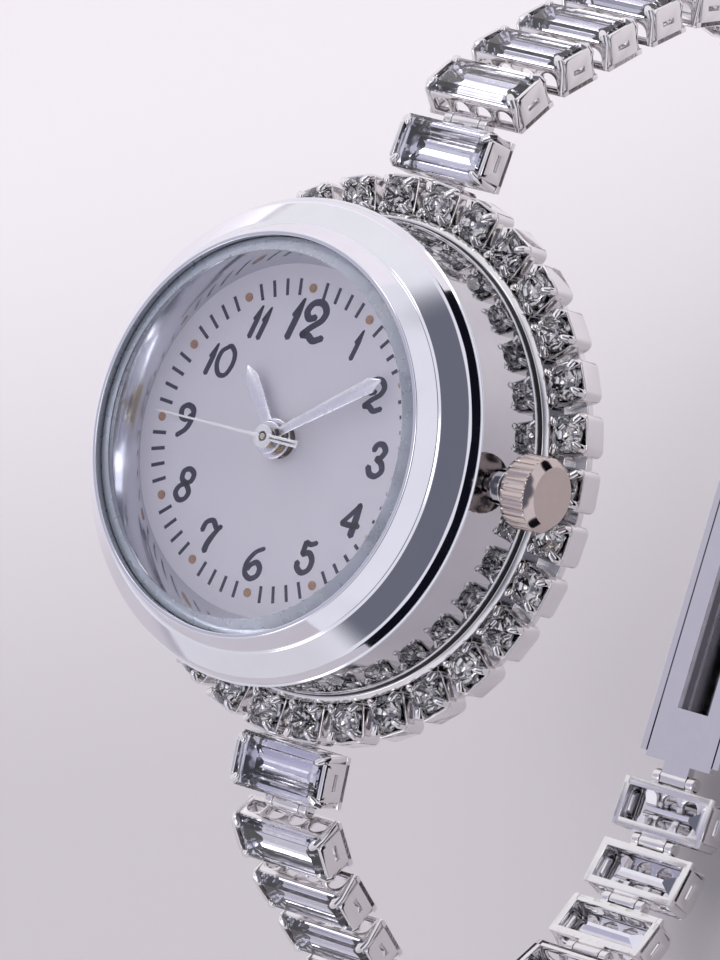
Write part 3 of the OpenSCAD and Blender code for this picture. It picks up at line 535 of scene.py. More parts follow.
# %% Case wall and bezel
HEAD = "head"
case_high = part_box("case_body")[1] / MM
case_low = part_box("case_body")[0] / MM
bezel_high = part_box("bezel")[1] / MM
CASE_R = case_high.y
WALL_TOP = case_high.z
RIM_TOP = bezel_high.z
BEZEL_R = bezel_high.x
OPEN_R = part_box("crystal")[1].x / MM
WALL_IN = CASE_R - 1.2
SPIGOT_R = CASE_R - 0.4
WALL_LOW = 2.60
SEAL_LOW = 2.40
CROWN_Z = 5.0
TUBE_R = 0.95
TUBE_BORE = 0.5
TUBE_END = case_high.x
SKIRT_LOW = 7.2
TO_CROWN = Matrix.Translation((0, 0, CROWN_Z)) @ Matrix.Rotation(math.pi / 2, 4, "Y")


def case_wall():
    """The wall with its small lip at the seal, and the crown's tube."""
    lip = CASE_R + 0.07
    outline = eased([(WALL_IN, case_low.z, 0), (SPIGOT_R, case_low.z, 0),
                     (SPIGOT_R, WALL_LOW, 0.02), (lip, WALL_LOW, 0.02), (lip, WALL_LOW + 0.08, 0.03),
                     (CASE_R, WALL_LOW + 0.16, 0.02), (CASE_R, WALL_TOP, 0.15),
                     (WALL_IN, WALL_TOP, 0.05)])
    tube = spin(eased([(TUBE_BORE, WALL_IN + 0.3), (TUBE_R, WALL_IN + 0.3),
                       (TUBE_R, TUBE_END, 0.1), (TUBE_BORE, TUBE_END, 0.1)]), turns=64)
    return joined([spin(outline, turns=256), moved(tube, TO_CROWN)])


def seal_ring():
    """The black gasket, squeezed out a little between the wall and the ring of stones."""
    low, high = SEAL_LOW + 0.01, WALL_LOW - 0.01
    return spin(eased([(SPIGOT_R + 0.02, low, 0), (CASE_R + 0.10, low, 0.05),
                       (CASE_R + 0.12, (low + high) / 2, 0.05), (CASE_R + 0.10, high, 0.05),
                       (SPIGOT_R + 0.02, high, 0)]), turns=256)


def bezel_turned():
    """The bezel, from its skirt inside the wall, by the lip and the slopes, to the rim."""
    outline = eased([(OPEN_R + 0.02, SKIRT_LOW, 0), (WALL_IN - 0.02, SKIRT_LOW, 0),
                     (WALL_IN - 0.02, WALL_TOP, 0), (BEZEL_R - 0.5, WALL_TOP, 0.1),
                     (BEZEL_R, WALL_TOP + 0.05, 0.02), (BEZEL_R, WALL_TOP + 0.14, 0.02),
                     (BEZEL_R - 0.12, WALL_TOP + 0.19, 0.02),
                     (BEZEL_R - 0.31, WALL_TOP + 0.82, 0.16),
                     (OPEN_R + 0.98, RIM_TOP - 1.12, 0.08), (OPEN_R + 0.82, RIM_TOP - 1.08, 0.06),
                     (OPEN_R + 0.26, RIM_TOP, 0.08), (OPEN_R + 0.02, RIM_TOP, 0.06)], steps=7)
    return spin(outline, turns=256)


settle(to_object("case_wall", case_wall(), chrome, 40), HEAD, "polished_case", "case_body")
settle(to_object("seal_ring", seal_ring(), rubber, 30), HEAD, "black_rubber", "back_gasket")
settle(to_object("bezel_turned", bezel_turned(), bezel_chrome, 30), HEAD, "polished_bezel",
       "bezel")

# %% [markdown]
# The glass is a flat disc with a ground bevel, and it is the thickness that gives it away: the
# edge shows as a dark, blue-grey band inside the bezel. So it is a real solid slab that bends
# light. The band is also painted in: the bevel and the rim carry a half-clear blue-grey colour as
# a painted dark reflection.

# %% Glass and inner ring
GLASS_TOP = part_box("crystal")[1].z / MM
GLASS_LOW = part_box("crystal")[0].z / MM
DIAL_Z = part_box("dial")[1].z / MM
ring_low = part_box("inner_ring")[0] / MM
ring_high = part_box("inner_ring")[1] / MM
RING_FOOT = 9.2


def glass_slab():
    """The glass; its bevel and its rim, which face sideways, take the ground finish with a painted
    dark reflection.
    """
    edge = OPEN_R - 0.01
    solid = spin(eased([(0, GLASS_LOW, 0), (edge, GLASS_LOW, 0.05), (edge, GLASS_TOP - 0.35, 0.05),
                        (edge - 0.75, GLASS_TOP, 0.04), (0, GLASS_TOP, 0)], steps=3), turns=256)
    solid.normal_update()
    for face in solid.faces:
        face.material_index = int(abs(face.normal.z) < 0.97)
    return solid


def ring_slope():
    """The polished ring that slopes from the glass down to the dial."""
    return spin(eased([(RING_FOOT, ring_low.z, 0.02), (ring_high.x, ring_low.z, 0),
                       (ring_high.x, ring_high.z, 0.02), (ring_high.x - 0.35, ring_high.z, 0.05),
                       (RING_FOOT + 0.12, ring_low.z + 0.25, 0.05)]), turns=256)


settle(to_object("glass_slab", glass_slab(), [watch_glass, ground_glass_painted_reflection], 25), HEAD, "watch_glass",
       "crystal")
settle(to_object("ring_slope", ring_slope(), ring_chrome, 30), HEAD, "inner_ring_polish",
       "inner_ring")

# %% [markdown]
# The printing on the dial: a thin layer of dark navy ink and twelve tan-gold dots. The numerals
# are drawn by hand with a broad pen, and a ready font is too regular for that. So each is a few
# strokes along smooth curves, whose width changes with the stroke's direction, as a nib's does.

# %% Pen strokes
INK_T = 0.012
NIB_WIDE = 0.090
NIB_THIN = 0.069
NIB_ANGLE = math.radians(35)


def smooth_path(points, steps=7):
    """A smooth curve through the points."""
    path = [Vector(p) for p in points]
    if len(path) == 2:
        return path
    ends = [path[0] * 2 - path[1], *path, path[-1] * 2 - path[-2]]
    curve = []
    for a, b, c, d in zip(ends, ends[1:], ends[2:], ends[3:]):
        for step in range(steps):
            t = step / steps
            curve.append(0.5 * (2 * b + (c - a) * t + (2 * a - 5 * b + 4 * c - d) * t ** 2
                                + (3 * b - a - 3 * c + d) * t ** 3))
    return [*curve, path[-1]]


def stroke(points, height, origin, swell=1.0, taper=1.0):
    """One pen stroke as a thin solid; taper below 1 thins its start."""
    path = [Vector(p) * height for p in smooth_path(points)]
    left, right = [], []
    for index, here in enumerate(path):
        along = (path[min(index + 1, len(path) - 1)] - path[max(index - 1, 0)]).normalized()
        side = Vector((-along.y, along.x))
        nib = Vector((math.cos(NIB_ANGLE), math.sin(NIB_ANGLE)))
        wide = abs(side.dot(nib)) * NIB_WIDE + (1 - abs(side.dot(nib))) * NIB_THIN
        share = index / (len(path) - 1)
        half = wide * swell * height * (taper + (1 - taper) * min(1.0, 2.2 * share))
        left.append(here + side * half)
        right.append(here - side * half)
    along = (path[-1] - path[-2]).normalized()
    tip = path[-1] + along * (left[-1] - right[-1]).length * 0.35
    start = path[0] - (path[1] - path[0]).normalized() * (left[0] - right[0]).length * 0.35
    outline = [start, *right, tip, *reversed(left)]
    solid = bmesh.new()
    low, high = [], []
    for rows, z in ((low, 0), (high, INK_T)):
        for p in outline:
            rows.append(solid.verts.new((p.x + origin.x, p.y + origin.y, DIAL_Z + z)))
    n = len(path)
    for rows in (low, high):
        solid.faces.new((rows[0], rows[1], rows[-1]))
        solid.faces.new((rows[n], rows[n + 1], rows[n + 2]))
        for k in range(1, n):
            solid.faces.new((rows[k], rows[k + 1], rows[-k - 1], rows[-k]))
    for k in range(len(outline)):
        m = (k + 1) % len(outline)
        solid.faces.new((low[k], low[m], high[m], high[k]))
    return solid


print("half a stroke is", NIB_THIN, "to", NIB_WIDE, "of a numeral's height")

# %% [markdown]
# Each numeral's strokes are given in a box one unit tall, centred on zero, with a swell and a
# taper. The order of points is the way the pen would go.

# %% Numerals
PEN = {
    "0": [([(0.04, 0.47), (-0.22, 0.27), (-0.32, -0.12), (-0.18, -0.44), (0.10, -0.42),
            (0.30, -0.06), (0.31, 0.28), (0.14, 0.48), (0.0, 0.46)], 1.0, 1)],
    "1": [([(0.16, 0.50), (0.02, 0.04), (-0.15, -0.50)], 1.1, 0.4),
          ([(0.14, 0.46), (-0.09, 0.06)], 0.7, 0.8)],
    "2": [([(0.03, 0.10), (-0.17, 0.05), (-0.25, 0.22), (-0.10, 0.43), (0.16, 0.46),
            (0.31, 0.28), (0.22, 0.05), (-0.05, -0.15), (-0.30, -0.37)], 1.1, 1),
          ([(-0.30, -0.37), (-0.10, -0.36), (0.08, -0.46), (0.34, -0.36)], 1.1, 1)],
    "3": [([(-0.22, 0.26), (-0.12, 0.44), (0.08, 0.46), (0.20, 0.29), (0.08, 0.08),
            (-0.04, 0.03), (0.14, -0.08), (0.20, -0.30), (0.02, -0.47), (-0.20, -0.44),
            (-0.30, -0.24)], 1.15, 1)],
    "4": [([(0.24, 0.48), (-0.02, 0.16), (-0.32, -0.16)], 1, 0.8),
          ([(-0.32, -0.16), (0.0, -0.18), (0.30, -0.16)], 1.1, 1),
          ([(0.22, 0.46), (0.16, 0.0), (0.08, -0.48)], 1.4, 0.8)],
    "5": [([(-0.08, 0.42), (-0.14, 0.05)], 1.1, 1),
          ([(-0.08, 0.42), (0.10, 0.38), (0.30, 0.46)], 1.0, 1),
          ([(-0.14, 0.05), (0.10, 0.12), (0.25, -0.08), (0.18, -0.36), (-0.05, -0.48),
            (-0.24, -0.36), (-0.26, -0.20)], 1.15, 1)],
    "6": [([(0.28, 0.47), (-0.02, 0.30), (-0.25, -0.02), (-0.26, -0.34), (-0.04, -0.48),
            (0.20, -0.36), (0.25, -0.12), (0.10, 0.02), (-0.10, -0.08), (-0.20, -0.22)], 1.1, 0.8)],
    "7": [([(-0.33, 0.12), (-0.22, 0.38), (0.02, 0.46), (0.20, 0.26), (0.36, 0.34)], 1.05, 1),
          ([(0.30, 0.30), (0.10, 0.02), (-0.04, -0.24), (-0.10, -0.47)], 1.25, 0.7)],
    "8": [([(0.04, 0.03), (-0.14, 0.14), (-0.12, 0.38), (0.08, 0.47), (0.26, 0.36),
            (0.22, 0.14), (0.04, 0.03), (-0.18, -0.08), (-0.28, -0.30), (-0.12, -0.48),
            (0.10, -0.42), (0.20, -0.20), (0.04, 0.03)], 1.05, 1)],
    "9": [([(0.18, 0.20), (0.02, 0.06), (-0.18, 0.12), (-0.20, 0.36), (0.0, 0.48),
            (0.22, 0.38), (0.22, 0.10), (0.08, -0.22), (-0.22, -0.46)], 1.1, 1)]}
NUMERAL_R = 6.42
DIGIT_H = {12: 2.15, 11: 1.70, 10: 1.65, 1: 1.56}
SMALL_H = 1.75
DIGIT_STEP = {12: 0.56, 11: 0.34, 10: 0.56}
NUDGE = {1: (0.35, 0.0), 2: (-0.25, 0.0), 10: (0.45, 0.25), 11: (0.28, 0.22), 12: (-0.1, -0.1)}


def numerals():
    """The twelve numerals, upright, each moved a little to where the photograph has it."""
    parts = []
    for hour in range(1, 13):
        angle = math.radians(30 * hour)
        middle = Vector((NUMERAL_R * math.sin(angle), NUMERAL_R * math.cos(angle)))
        height = DIGIT_H.get(hour, SMALL_H)
        digits = str(hour)
        for index, digit in enumerate(digits):
            shift = (index - (len(digits) - 1) / 2) * DIGIT_STEP.get(hour, 0) * height
            origin = middle + Vector((shift, 0.0)) + Vector(NUDGE.get(hour, (0, 0)))
            parts += [stroke(points, height, origin, swell, taper)
                      for points, swell, taper in PEN[digit]]
    return joined(parts)


settle(to_object("numerals", numerals(), ink, 0), HEAD, "dial_print")

# %% [markdown]
# The minute track: a tick for each minute, and a thicker dot of paint in place of every fifth.
# An image on the dial could carry them, but as thin solids they stay sharp at any zoom.

# %% Minute ticks and hour dots
TRACK_R = 8.0
TICK_L = 0.88
TICK_W = 0.19
DOT_R = 0.24
DOT_T = 0.05


def block(low, high, edge=0.03):
    """A box between two corners, with bevelled edges."""
    solid = bmesh.new()
    made = bmesh.ops.create_cube(solid, size=1)["verts"]
    size = Vector(high) - Vector(low)
    bmesh.ops.scale(solid, vec=size, verts=made)
    bmesh.ops.translate(solid, vec=Vector(low) + size / 2, verts=made)
    bmesh.ops.bevel(solid, geom=list(solid.edges), offset=edge, segments=2, affect="EDGES",
                    profile=0.5)
    return solid


def ticks():
    """The 48 minute ticks."""
    parts = []
    for minute in range(60):
        if minute % 5:
            bar = block((-TICK_W / 2, TRACK_R - TICK_L / 2, DIAL_Z),
                        (TICK_W / 2, TRACK_R + TICK_L / 2, DIAL_Z + INK_T), 0.004)
            parts.append(moved(bar, Matrix.Rotation(-math.radians(6 * minute), 4, "Z")))
    return joined(parts)


def dots():
    """The twelve hour dots."""
    parts = []
    for hour in range(12):
        angle = math.radians(30 * hour)
        dot = spin(eased([(0, DIAL_Z, 0), (DOT_R, DIAL_Z, 0), (DOT_R, DIAL_Z + DOT_T, 0.04),
                          (0, DIAL_Z + DOT_T, 0)]), turns=24)
        place = (TRACK_R * math.sin(angle), TRACK_R * math.cos(angle), 0)
        parts.append(moved(dot, Matrix.Translation(place)))
    return joined(parts)


settle(to_object("minute_ticks", ticks(), ink, 0), HEAD, "dial_print")
settle(to_object("hour_dots", dots(), dot_paint, 30), HEAD, "dial_dots")

# %% [markdown]
# Sheet parts, such as link walls, plates and watch hands, are flat outlines with a thickness. The
# outline and its windows are filled together, pushed out to their thickness, and every edge gets
# a small bevel.

# %% Cutting sheet
def sheet(outline, depth, windows=(), edge=0.03, segments=2):
    """A flat piece between z 0 and depth, with windows and bevelled edges."""
    solid = bmesh.new()
    loops = []
    for loop in (outline, *windows):
        corners = [solid.verts.new((x, y, 0)) for x, y in loop]
        for index, corner in enumerate(corners):
            loops.append(solid.edges.new((corner, corners[(index + 1) % len(corners)])))
    bmesh.ops.triangle_fill(solid, use_beauty=True, use_dissolve=True, edges=loops)
    grown = bmesh.ops.extrude_face_region(solid, geom=list(solid.faces))["geom"]
    bmesh.ops.translate(solid, vec=(0, 0, depth),
                        verts=[g for g in grown if isinstance(g, bmesh.types.BMVert)])
    bmesh.ops.recalc_face_normals(solid, faces=solid.faces)
    if edge:
        sharp = [e for e in solid.edges if e.is_manifold and e.calc_face_angle(0) > 0.6]
        bmesh.ops.bevel(solid, geom=sharp, offset=edge, segments=segments, affect="EDGES",
                        profile=0.5, clamp_overlap=True)
    return solid


# %% [markdown]
# The hands are thin pressed strips with bevelled edges: two broad ones with pointed ends, and a
# needle with a round hub and a square tail. They are made pointing at 12 and turned clockwise to
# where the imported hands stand.

# %% Hands
HAND_ANGLE = {"hour_hand": 322, "minute_hand": 58, "second_hand": 272}
HAND_LENGTH = {"hour_hand": 4.4, "minute_hand": 7.6, "second_hand": 7.4}
# each blade's half widths at its root and shoulder, and the length of its point
BLADE = {"hour_hand": (0.27, 0.46, 0.75), "minute_hand": (0.22, 0.42, 0.7)}
# each hub's radius and bore
HUB = {"hour_hand": (1.05, 0.77), "minute_hand": (0.85, 0.52)}
NEEDLE_T = 0.1
NEEDLE_HUB_R = 0.62
PIPE_R = 0.3
PIPE_BORE = 0.12
TAIL = 2.4


def pointed(length, root, shoulder, cut):
    """Outline of a broad hand that widens to a shoulder and ends in a point."""
    return [(-root, 0.3), (root, 0.3), (shoulder, length - cut), (0.06, length), (-0.06, length),
            (-shoulder, length - cut)]


def hub(radius, low, high, bore):
    """A hand's round middle."""
    return spin(eased([(bore, low), (radius, low), (radius, high), (bore, high)], 0.04), turns=64)


def hand(node):
    """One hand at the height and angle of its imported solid."""
    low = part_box(node)[0].z / MM
    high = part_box(node)[1].z / MM
    length = HAND_LENGTH[node]
    if node == "second_hand":
        blade_low = low + 0.42 * (high - low)
        needle = [(-0.09, 0.2), (0.09, 0.2), (0.045, length), (-0.045, length)]
        tail = [(-0.19, -TAIL), (0.19, -TAIL), (0.17, -0.3), (-0.17, -0.3)]
        ridge = block((-0.04, -TAIL + 0.1, blade_low + NEEDLE_T), (0.04, -0.5, high - 0.02), 0.01)
        lift = Matrix.Translation((0, 0, blade_low))
        parts = [moved(sheet(needle, NEEDLE_T, edge=0.02), lift),
                 moved(sheet(tail, NEEDLE_T), lift), ridge,
                 hub(NEEDLE_HUB_R, blade_low, high, PIPE_BORE), hub(PIPE_R, low, high, PIPE_BORE)]
    else:
        blade = moved(sheet(pointed(length, *BLADE[node]), high - low, edge=0.045),
                      Matrix.Translation((0, 0, low)))
        radius, bore = HUB[node]
        parts = [blade, hub(radius, low, high, bore)]
    return moved(joined(parts), Matrix.Rotation(-math.radians(HAND_ANGLE[node]), 4, "Z"))


for node_name, body in (("hour_hand", "hours"), ("minute_hand", "minutes"),
                        ("second_hand", "seconds")):
    settle(to_object(node_name + "_blade", hand(node_name), NODE_FINISH[node_name], 30), body,
           "hand_silver", node_name)

# %% [markdown]
# The crown is a fluted knob. A flute is a shallow round groove, so the lathe's radius is pulled
# in by a cosine around the rim, but only between the two chamfers.

# %% Crown
FLUTES = 26
FLUTE_DEPTH = 0.10
CHAMFER = 0.42
CROWN_BORE = 0.55
BORE_END = 1.1
RIM_STEPS = 12
crown_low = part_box("crown")[0] / MM
crown_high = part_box("crown")[1] / MM
CROWN_R = (crown_high.z - crown_low.z) / 2


def fluted(radius, height, angle):
    """The lathe's radius, pulled in where a flute runs."""
    inside = crown_low.x + 0.12 < height < crown_high.x - CHAMFER
    if not inside or radius < CROWN_R - 0.08:
        return radius
    wave = abs(math.cos(angle * FLUTES / 2))
    return radius - FLUTE_DEPTH * (1 - wave) ** 0.8


def crown_knob():
    """The knob, spun about Z and turned to point along +X."""
    x0, x1 = crown_low.x, crown_high.x
    rim = [(CROWN_R, x0 + 0.15 + k * (x1 - x0 - 0.62) / RIM_STEPS) for k in range(RIM_STEPS + 1)]
    outline = [(CROWN_BORE, x0), (CROWN_R - 0.1, x0), (CROWN_R - 0.06, x0 + 0.06), *rim,
               (CROWN_R - 0.04, x1 - CHAMFER), (CROWN_R - 0.06, x1 - 0.38),
               (CROWN_R - 0.40, x1 - 0.08), (CROWN_R - 0.46, x1 - 0.03),
               (CROWN_R - 0.9, x1 - 0.005), (0, x1), (0, x0 + BORE_END),
               (CROWN_BORE, x0 + BORE_END)]
    return moved(spin(outline, turns=FLUTES * 12, flute=fluted), TO_CROWN)


settle(to_object("crown_knob", crown_knob(), steel, 35), "crown", "crown_steel", "crown")

# %% [markdown]
# Cut stones. A round stone has a flat table, eight kites, and a pavilion that runs to a point.
# Placing only the corners and wrapping them in their convex hull gives true flat facets. The
# back facets carry foil, as on real rhinestones: light goes in, bounces and comes out.

# %% Round stones
STONE_R = 0.97
GIRDLE_Z = 1.95
POINT_Z = 0.95
TABLE_Z = 2.36
GIRDLE_HALF = 0.04
ROW_TWIST = 0.39


def brilliant(radius, girdle, table, point):
    """A faceted round stone; the facets below its girdle use the second finish."""
    solid = bmesh.new()
    rows = ((0.56, table, 8, 0.5), (0.80, table - 0.17, 8, 0), (1.0, girdle + GIRDLE_HALF, 16, 0),
            (1.0, girdle - GIRDLE_HALF, 16, 0), (0.62, girdle - 0.48, 8, 0))
    for share, height, count, twist in rows:
        for k in range(count):
            angle = 2 * math.pi * (k + twist) / count
            solid.verts.new((radius * share * math.cos(angle), radius * share * math.sin(angle),
                             height))
    solid.verts.new((0, 0, point))
    bmesh.ops.convex_hull(solid, input=solid.verts)
    bmesh.ops.dissolve_limit(solid, angle_limit=math.radians(1), verts=solid.verts,
                             edges=solid.edges)
    for face in solid.faces:
        face.material_index = int(face.calc_center_median().z < girdle - 0.06)
    return solid


print("a round stone is", 2 * STONE_R, "mm wide and", round(TABLE_Z - POINT_Z, 2), "mm deep")

# %% [markdown]
# A claw is a short finger of metal with a round tip. A curve with a thickness could draw it too,
# but rings of points along a path can be joined to the cup at once.

# %% Claws
def finger(points, radii, sides=10):
    """A round-ended finger of metal along a few points, such as a claw."""
    solid = bmesh.new()
    path = [Vector(p) for p in points]
    rows = []
    for index, here in enumerate(path):
        ahead = path[min(index + 1, len(path) - 1)] - path[max(index - 1, 0)]
        turn = ahead.to_track_quat("Z", "Y").to_matrix()
        rows.append((here, turn, radii[index]))
    tip, turn, radius = rows[-1]
    for lift, shrink in ((0.5, 0.87), (0.87, 0.5)):
        rows.append((tip + turn @ Vector((0, 0, radius * lift)), turn, radius * shrink))
    rings = []
    for here, turn, radius in rows:
        rings.append([solid.verts.new(here + turn @ Vector((
            radius * math.cos(2 * math.pi * s / sides),
            radius * math.sin(2 * math.pi * s / sides), 0))) for s in range(sides)])
    for low, high in zip(rings, rings[1:]):
        for s in range(sides):
            n = (s + 1) % sides
            solid.faces.new((low[s], low[n], high[n], high[s]))
    end = solid.verts.new(tip + turn @ Vector((0, 0, radii[-1])))
    for s in range(sides):
        solid.faces.new((rings[-1][s], rings[-1][(s + 1) % sides], end))
    solid.faces.new(rings[0])
    return solid


# %% [markdown]
# The ring of cups. Each cup is a small pressed tub with rounded-square walls and four claws that
# fold over the stone. Neighbouring cups touch only through a thin strip below, so the outer
# walls read as separate bright plates.

# %% Claw cups
RING_COUNT = 32
RING_R = 14.15
TWIST = math.radians(-3)
CUP_HALF = 1.13
CUP_LOW = 0.27
CUP_WALL_TOP = 1.72
CLAW_RADII = (0.22, 0.24, 0.26, 0.20)
BAND_LOW = 0.25
BAND_TOP = 0.75


def rounded_square(half, corner, steps=5):
    """Outline of a square with round corners."""
    outline = []
    for quarter in range(4):
        centre = Vector((half - corner, half - corner))
        for step in range(steps + 1):
            angle = math.pi / 2 * (step / steps)
            point = centre + corner * Vector((math.cos(angle), math.sin(angle)))
            turn = Matrix.Rotation(math.pi / 2 * quarter, 2)
            outline.append(turn @ point)
    return outline


def claw_cup():
    """One cup at the origin, with its outer side towards +X."""
    wall = sheet(rounded_square(CUP_HALF, 0.42), CUP_WALL_TOP - CUP_LOW,
                 [rounded_square(CUP_HALF - 0.17, 0.3)], edge=0.05, segments=3)
    bottom = sheet(rounded_square(CUP_HALF - 0.1, 0.35), 0.2, edge=0)
    lift = Matrix.Translation((0, 0, CUP_LOW))
    parts = [moved(wall, lift), moved(bottom, lift)]
    for quarter in range(4):
        angle = math.radians(45 + 90 * quarter)
        out = Vector((math.cos(angle), math.sin(angle), 0))
        foot = out * 1.16
        parts.append(finger([foot + Vector((0, 0, 1.0)), foot + Vector((0, 0, CUP_WALL_TOP)),
                             out * 1.10 + Vector((0, 0, 2.05)), out * 0.90 + Vector((0, 0, 2.20))],
                            CLAW_RADII))
    return joined(parts)


def around_ring(make, twist=0):
    """One thing at every cup's place, each turned by one more twist about its own axis."""
    parts = []
    for index in range(RING_COUNT):
        angle = 2 * math.pi * (index + 0.5) / RING_COUNT + math.pi / 2 + TWIST
        place = (Matrix.Rotation(angle, 4, "Z") @ Matrix.Translation((RING_R, 0, 0))
                 @ Matrix.Rotation(twist * index, 4, "Z"))
        parts.append(moved(make(), place))
    return parts


def ring_band():
    """The band under the cups and the bright rim under the seal."""
    inner = SPIGOT_R + 0.05
    outer, neck = RING_R + 0.5, RING_R - 1.0
    return spin(eased([(inner, BAND_LOW, 0.03), (outer, BAND_LOW, 0.05), (outer, BAND_TOP, 0.05),
                       (neck, BAND_TOP, 0.03), (neck, SEAL_LOW - 0.25, 0.05),
                       (CASE_R + 0.22, SEAL_LOW, 0.04), (inner, SEAL_LOW, 0.02)]), turns=256)


settle(to_object("claw_cups", joined([ring_band(), *around_ring(claw_cup)]), plating, 40), HEAD,
       "silver_plate", "stone_ring")
settle(to_object("round_stones", joined(around_ring(
    lambda: brilliant(STONE_R, GIRDLE_Z, TABLE_Z, POINT_Z), ROW_TWIST)), [round_clear, foil], 0),
    HEAD, "clear_stone", "ring_stones")

# %% [markdown]
# The bracelet. All links are alike, so one setting and one stone are modelled once, in the
# link's own frame, and shared by every link. U runs along the chain from the near hinge, N
# points out of the stone and X lies across.

# %% A link's measures
LINK_LOW = -0.35
WALL_OUT = 1.42
WALL_T = 0.25
WALL_H = 1.18
PLATE_IN = 2.95
PLATE_T = 0.25
PLATE_W = 2.1
PLATE_TOP = 1.6
RAIL_W = 0.45
RAIL_H = 0.3
PRONG_RADII = (0.25, 0.27, 0.28, 0.22)
WINDOWS = 4
PIN_R = 0.2
EYE_R = 0.42
EYE_W = 1.8
EAR_W = 0.5
hinge_places = [Vector(j["pos_m"]) / MM for j in frame["joints"]
                if j["name"].startswith("upper_hinge")]
PITCH = (hinge_places[1] - hinge_places[0]).length
print("pitch", round(PITCH, 3), "mm")

# %% [markdown]
# The walls are sheets: two long ones with a row of arches, and a plate with a slot at each end.

# %% A link's walls
def arch_window(middle, half, low, high, steps=8):
    """Outline of a window with a round head."""
    spring = high - half
    head = [(middle + half * math.cos(math.pi * k / steps),
             spring + half * math.sin(math.pi * k / steps)) for k in range(steps + 1)]
    return [(middle - half, low), (middle + half, low), *head]


def long_wall(v):
    """A wall along the stone, with its arches, standing at v."""
    step = 2 * PLATE_IN / WINDOWS
    windows = [arch_window(-PLATE_IN + (k + 0.5) * step, 0.52, -0.05, 0.88)
               for k in range(WINDOWS)]
    outline = [(-PLATE_IN, LINK_LOW), (PLATE_IN, LINK_LOW), (PLATE_IN, WALL_H),
               (-PLATE_IN, WALL_H)]
    upright = Matrix.Translation((0, v + WALL_T, 0)) @ Matrix.Rotation(math.pi / 2, 4, "X")
    return moved(sheet(outline, WALL_T, windows, edge=0.04), upright)


def end_plate(x):
    """A plate that closes the setting's end, with its slot."""
    half = PLATE_W / 2
    outline = [(-half, LINK_LOW), (half, LINK_LOW), (half, PLATE_TOP - 0.12),
               (half - 0.12, PLATE_TOP), (-half + 0.12, PLATE_TOP), (-half, PLATE_TOP - 0.12)]
    slot = [(-0.46, 0.5), (0.46, 0.5), (0.46, 0.78), (-0.46, 0.78)]
    across = Matrix.Translation((x, 0, 0)) @ Matrix(
        ((0, 0, 1, 0), (1, 0, 0, 0), (0, 1, 0, 0), (0, 0, 0, 1)))
    return moved(sheet(outline, PLATE_T, [slot], edge=0.035), across)


# %% [markdown]
# The setting puts the walls on a frame of rails, folds a prong over each corner, and adds the
# hinge: an eye in the middle at the near end, and two ears with the pin at the far end.

# %% A link's setting
def bar_across(radius, x0, x1, u, n, bore=0.0):
    """A tube across the chain, or without a bore a round bar."""
    outline = [(bore, x0), (radius, x0), (radius, x1), (bore, x1)]
    if bore:
        outline = eased(outline, 0.04, 2)
    place = Matrix.Translation((0, u, n)) @ Matrix.Rotation(math.pi / 2, 4, "Y")
    return moved(spin(outline, turns=28), place)


def setting():
    """The metal of one link, with its near hinge at the origin."""
    parts = [long_wall(-WALL_OUT), long_wall(WALL_OUT - WALL_T), end_plate(-PLATE_IN - PLATE_T),
             end_plate(PLATE_IN)]
    rail_top = LINK_LOW + RAIL_H
    for v in (-WALL_OUT, WALL_OUT - RAIL_W):
        parts.append(block((-PLATE_IN, v, LINK_LOW), (PLATE_IN, v + RAIL_W, rail_top)))
    for x in (-PLATE_IN - PLATE_T, PLATE_IN - 0.2):
        parts.append(block((x, -WALL_OUT, LINK_LOW), (x + RAIL_W, WALL_OUT, rail_top)))
    for sx in (-1, 1):
        for sv in (-1, 1):
            foot = Vector((sx * (PLATE_IN - 0.03), sv * 1.22, 0))
            lean_in = Vector((-sx * 0.30, -sv * 0.24, 0))
            parts.append(finger(
                [foot + Vector((0, 0, LINK_LOW + 0.1)), foot + Vector((0, 0, 1.25)),
                 foot + lean_in * 0.35 + Vector((0, 0, 1.50)),
                 foot + lean_in + Vector((0, 0, 1.60))], PRONG_RADII, sides=12))
    whole = moved(joined(parts), Matrix.Translation((0, PITCH / 2, 0)))
    ear_x = EYE_W / 2 + 0.05
    gap = PITCH / 2 - WALL_OUT
    extra = [bar_across(EYE_R, -EYE_W / 2, EYE_W / 2, 0, 0, bore=PIN_R + 0.05),
             block((-EYE_W / 2, 0.3, LINK_LOW + 0.01), (EYE_W / 2, gap + 0.1, 0.2)),
             bar_across(PIN_R, -ear_x - EAR_W - 0.01, ear_x + EAR_W + 0.01, PITCH, 0)]
    for x in (-ear_x - EAR_W, ear_x):
        extra.append(bar_across(EYE_R, x, x + EAR_W, PITCH, 0, bore=PIN_R - 0.01))
        extra.append(block((x, PITCH - gap - 0.1, -0.25), (x + EAR_W, PITCH - 0.25, 0.25)))
    return joined([whole, *extra])


# %% [markdown]
# A baguette is step cut: its faces go down in long steps, like a roof with a flat top. Each step
# is a rectangle at its own height, and neighbouring rectangles are joined by four flat facets.

# %% One baguette
STONE_LONG = 2.92
STONE_SHORT = 1.49


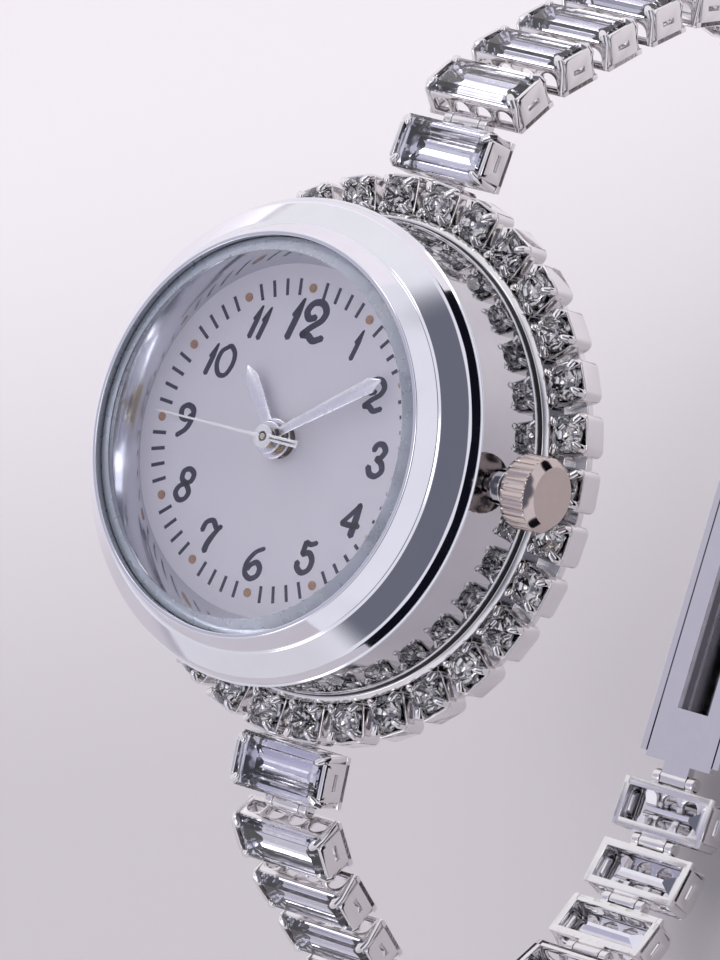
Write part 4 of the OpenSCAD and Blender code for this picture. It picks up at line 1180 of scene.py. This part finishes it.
def baguette():
    """A step-cut stone with foil on its back steps."""
    solid = bmesh.new()
    steps = ((1.38, 1.38, 0.16), (0.95, 0.98, 0.45), (0.36, 0.40, 0.92), (0.0, 0.0, 1.30),
             (0.0, 0.0, 1.40), (0.26, 0.24, 1.58), (0.56, 0.50, 1.71))
    rings = []
    for inset_long, inset_short, height in steps:
        x = STONE_LONG - inset_long
        y = STONE_SHORT - inset_short
        rings.append([solid.verts.new((sx * x, sy * y + PITCH / 2, height))
                      for sx, sy in ((-1, -1), (1, -1), (1, 1), (-1, 1))])
    for row, (low, high) in enumerate(zip(rings, rings[1:])):
        for k in range(4):
            n = (k + 1) % 4
            face = solid.faces.new((low[k], low[n], high[n], high[k]))
            face.material_index = int(row < 3)
    solid.faces.new(list(reversed(rings[0]))).material_index = 1
    solid.faces.new(rings[-1])
    return solid


setting_pattern = to_object("setting_pattern", setting(), plating, 35)
stone_pattern = to_object("baguette_pattern", baguette(), [baguette_clear, bright_foil], 0)
print("faces", [len(p.data.polygons) for p in (setting_pattern, stone_pattern)])

# %% [markdown]
# Each link's frame comes from its two hinges: the line between them is U, the hinge's axis is X,
# and N follows. The last link of a side ends at the clasp's or the end loop's hinge.

# %% Placing the links
def link_frames(side, last_hinge):
    """Each link of a side, with the matrix that puts it in place."""
    hinges = [j for j in frame["joints"] if j["name"].startswith(side + "_hinge")]
    hinges.sort(key=lambda j: j["name"])
    hinges.append(next(j for j in frame["joints"] if j["name"] == last_hinge))
    for near, far in zip(hinges, hinges[1:]):
        start = Vector(near["pos_m"])
        along = (Vector(far["pos_m"]) - start).normalized()
        across = Vector(near["axis"]).normalized()
        out = across.cross(along)
        turn = Matrix((across, along, out)).transposed().to_4x4()
        yield near["child"], Matrix.Translation(start) @ turn


for side, last_hinge in (("upper", "loop_hinge"), ("lower", "clasp_hinge")):
    for link_name, place in link_frames(side, last_hinge):
        for suffix, pattern, slot in (("setting", setting_pattern, "silver_plate"),
                                      ("baguette", stone_pattern, "clear_stone")):
            piece = placed(link_name + "_" + suffix, pattern.data)
            piece.matrix_world = place
            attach(piece, link_name)
            if suffix == "setting":
                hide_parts(link_name)
for pattern in (setting_pattern, stone_pattern):
    bpy.data.objects.remove(pattern)

# %% [markdown]
# Last, the size of the imported model is printed.

# %% Sizes and finish
print("cad box", [[round(v / MM, 2) for v in c] for c in cad_box])
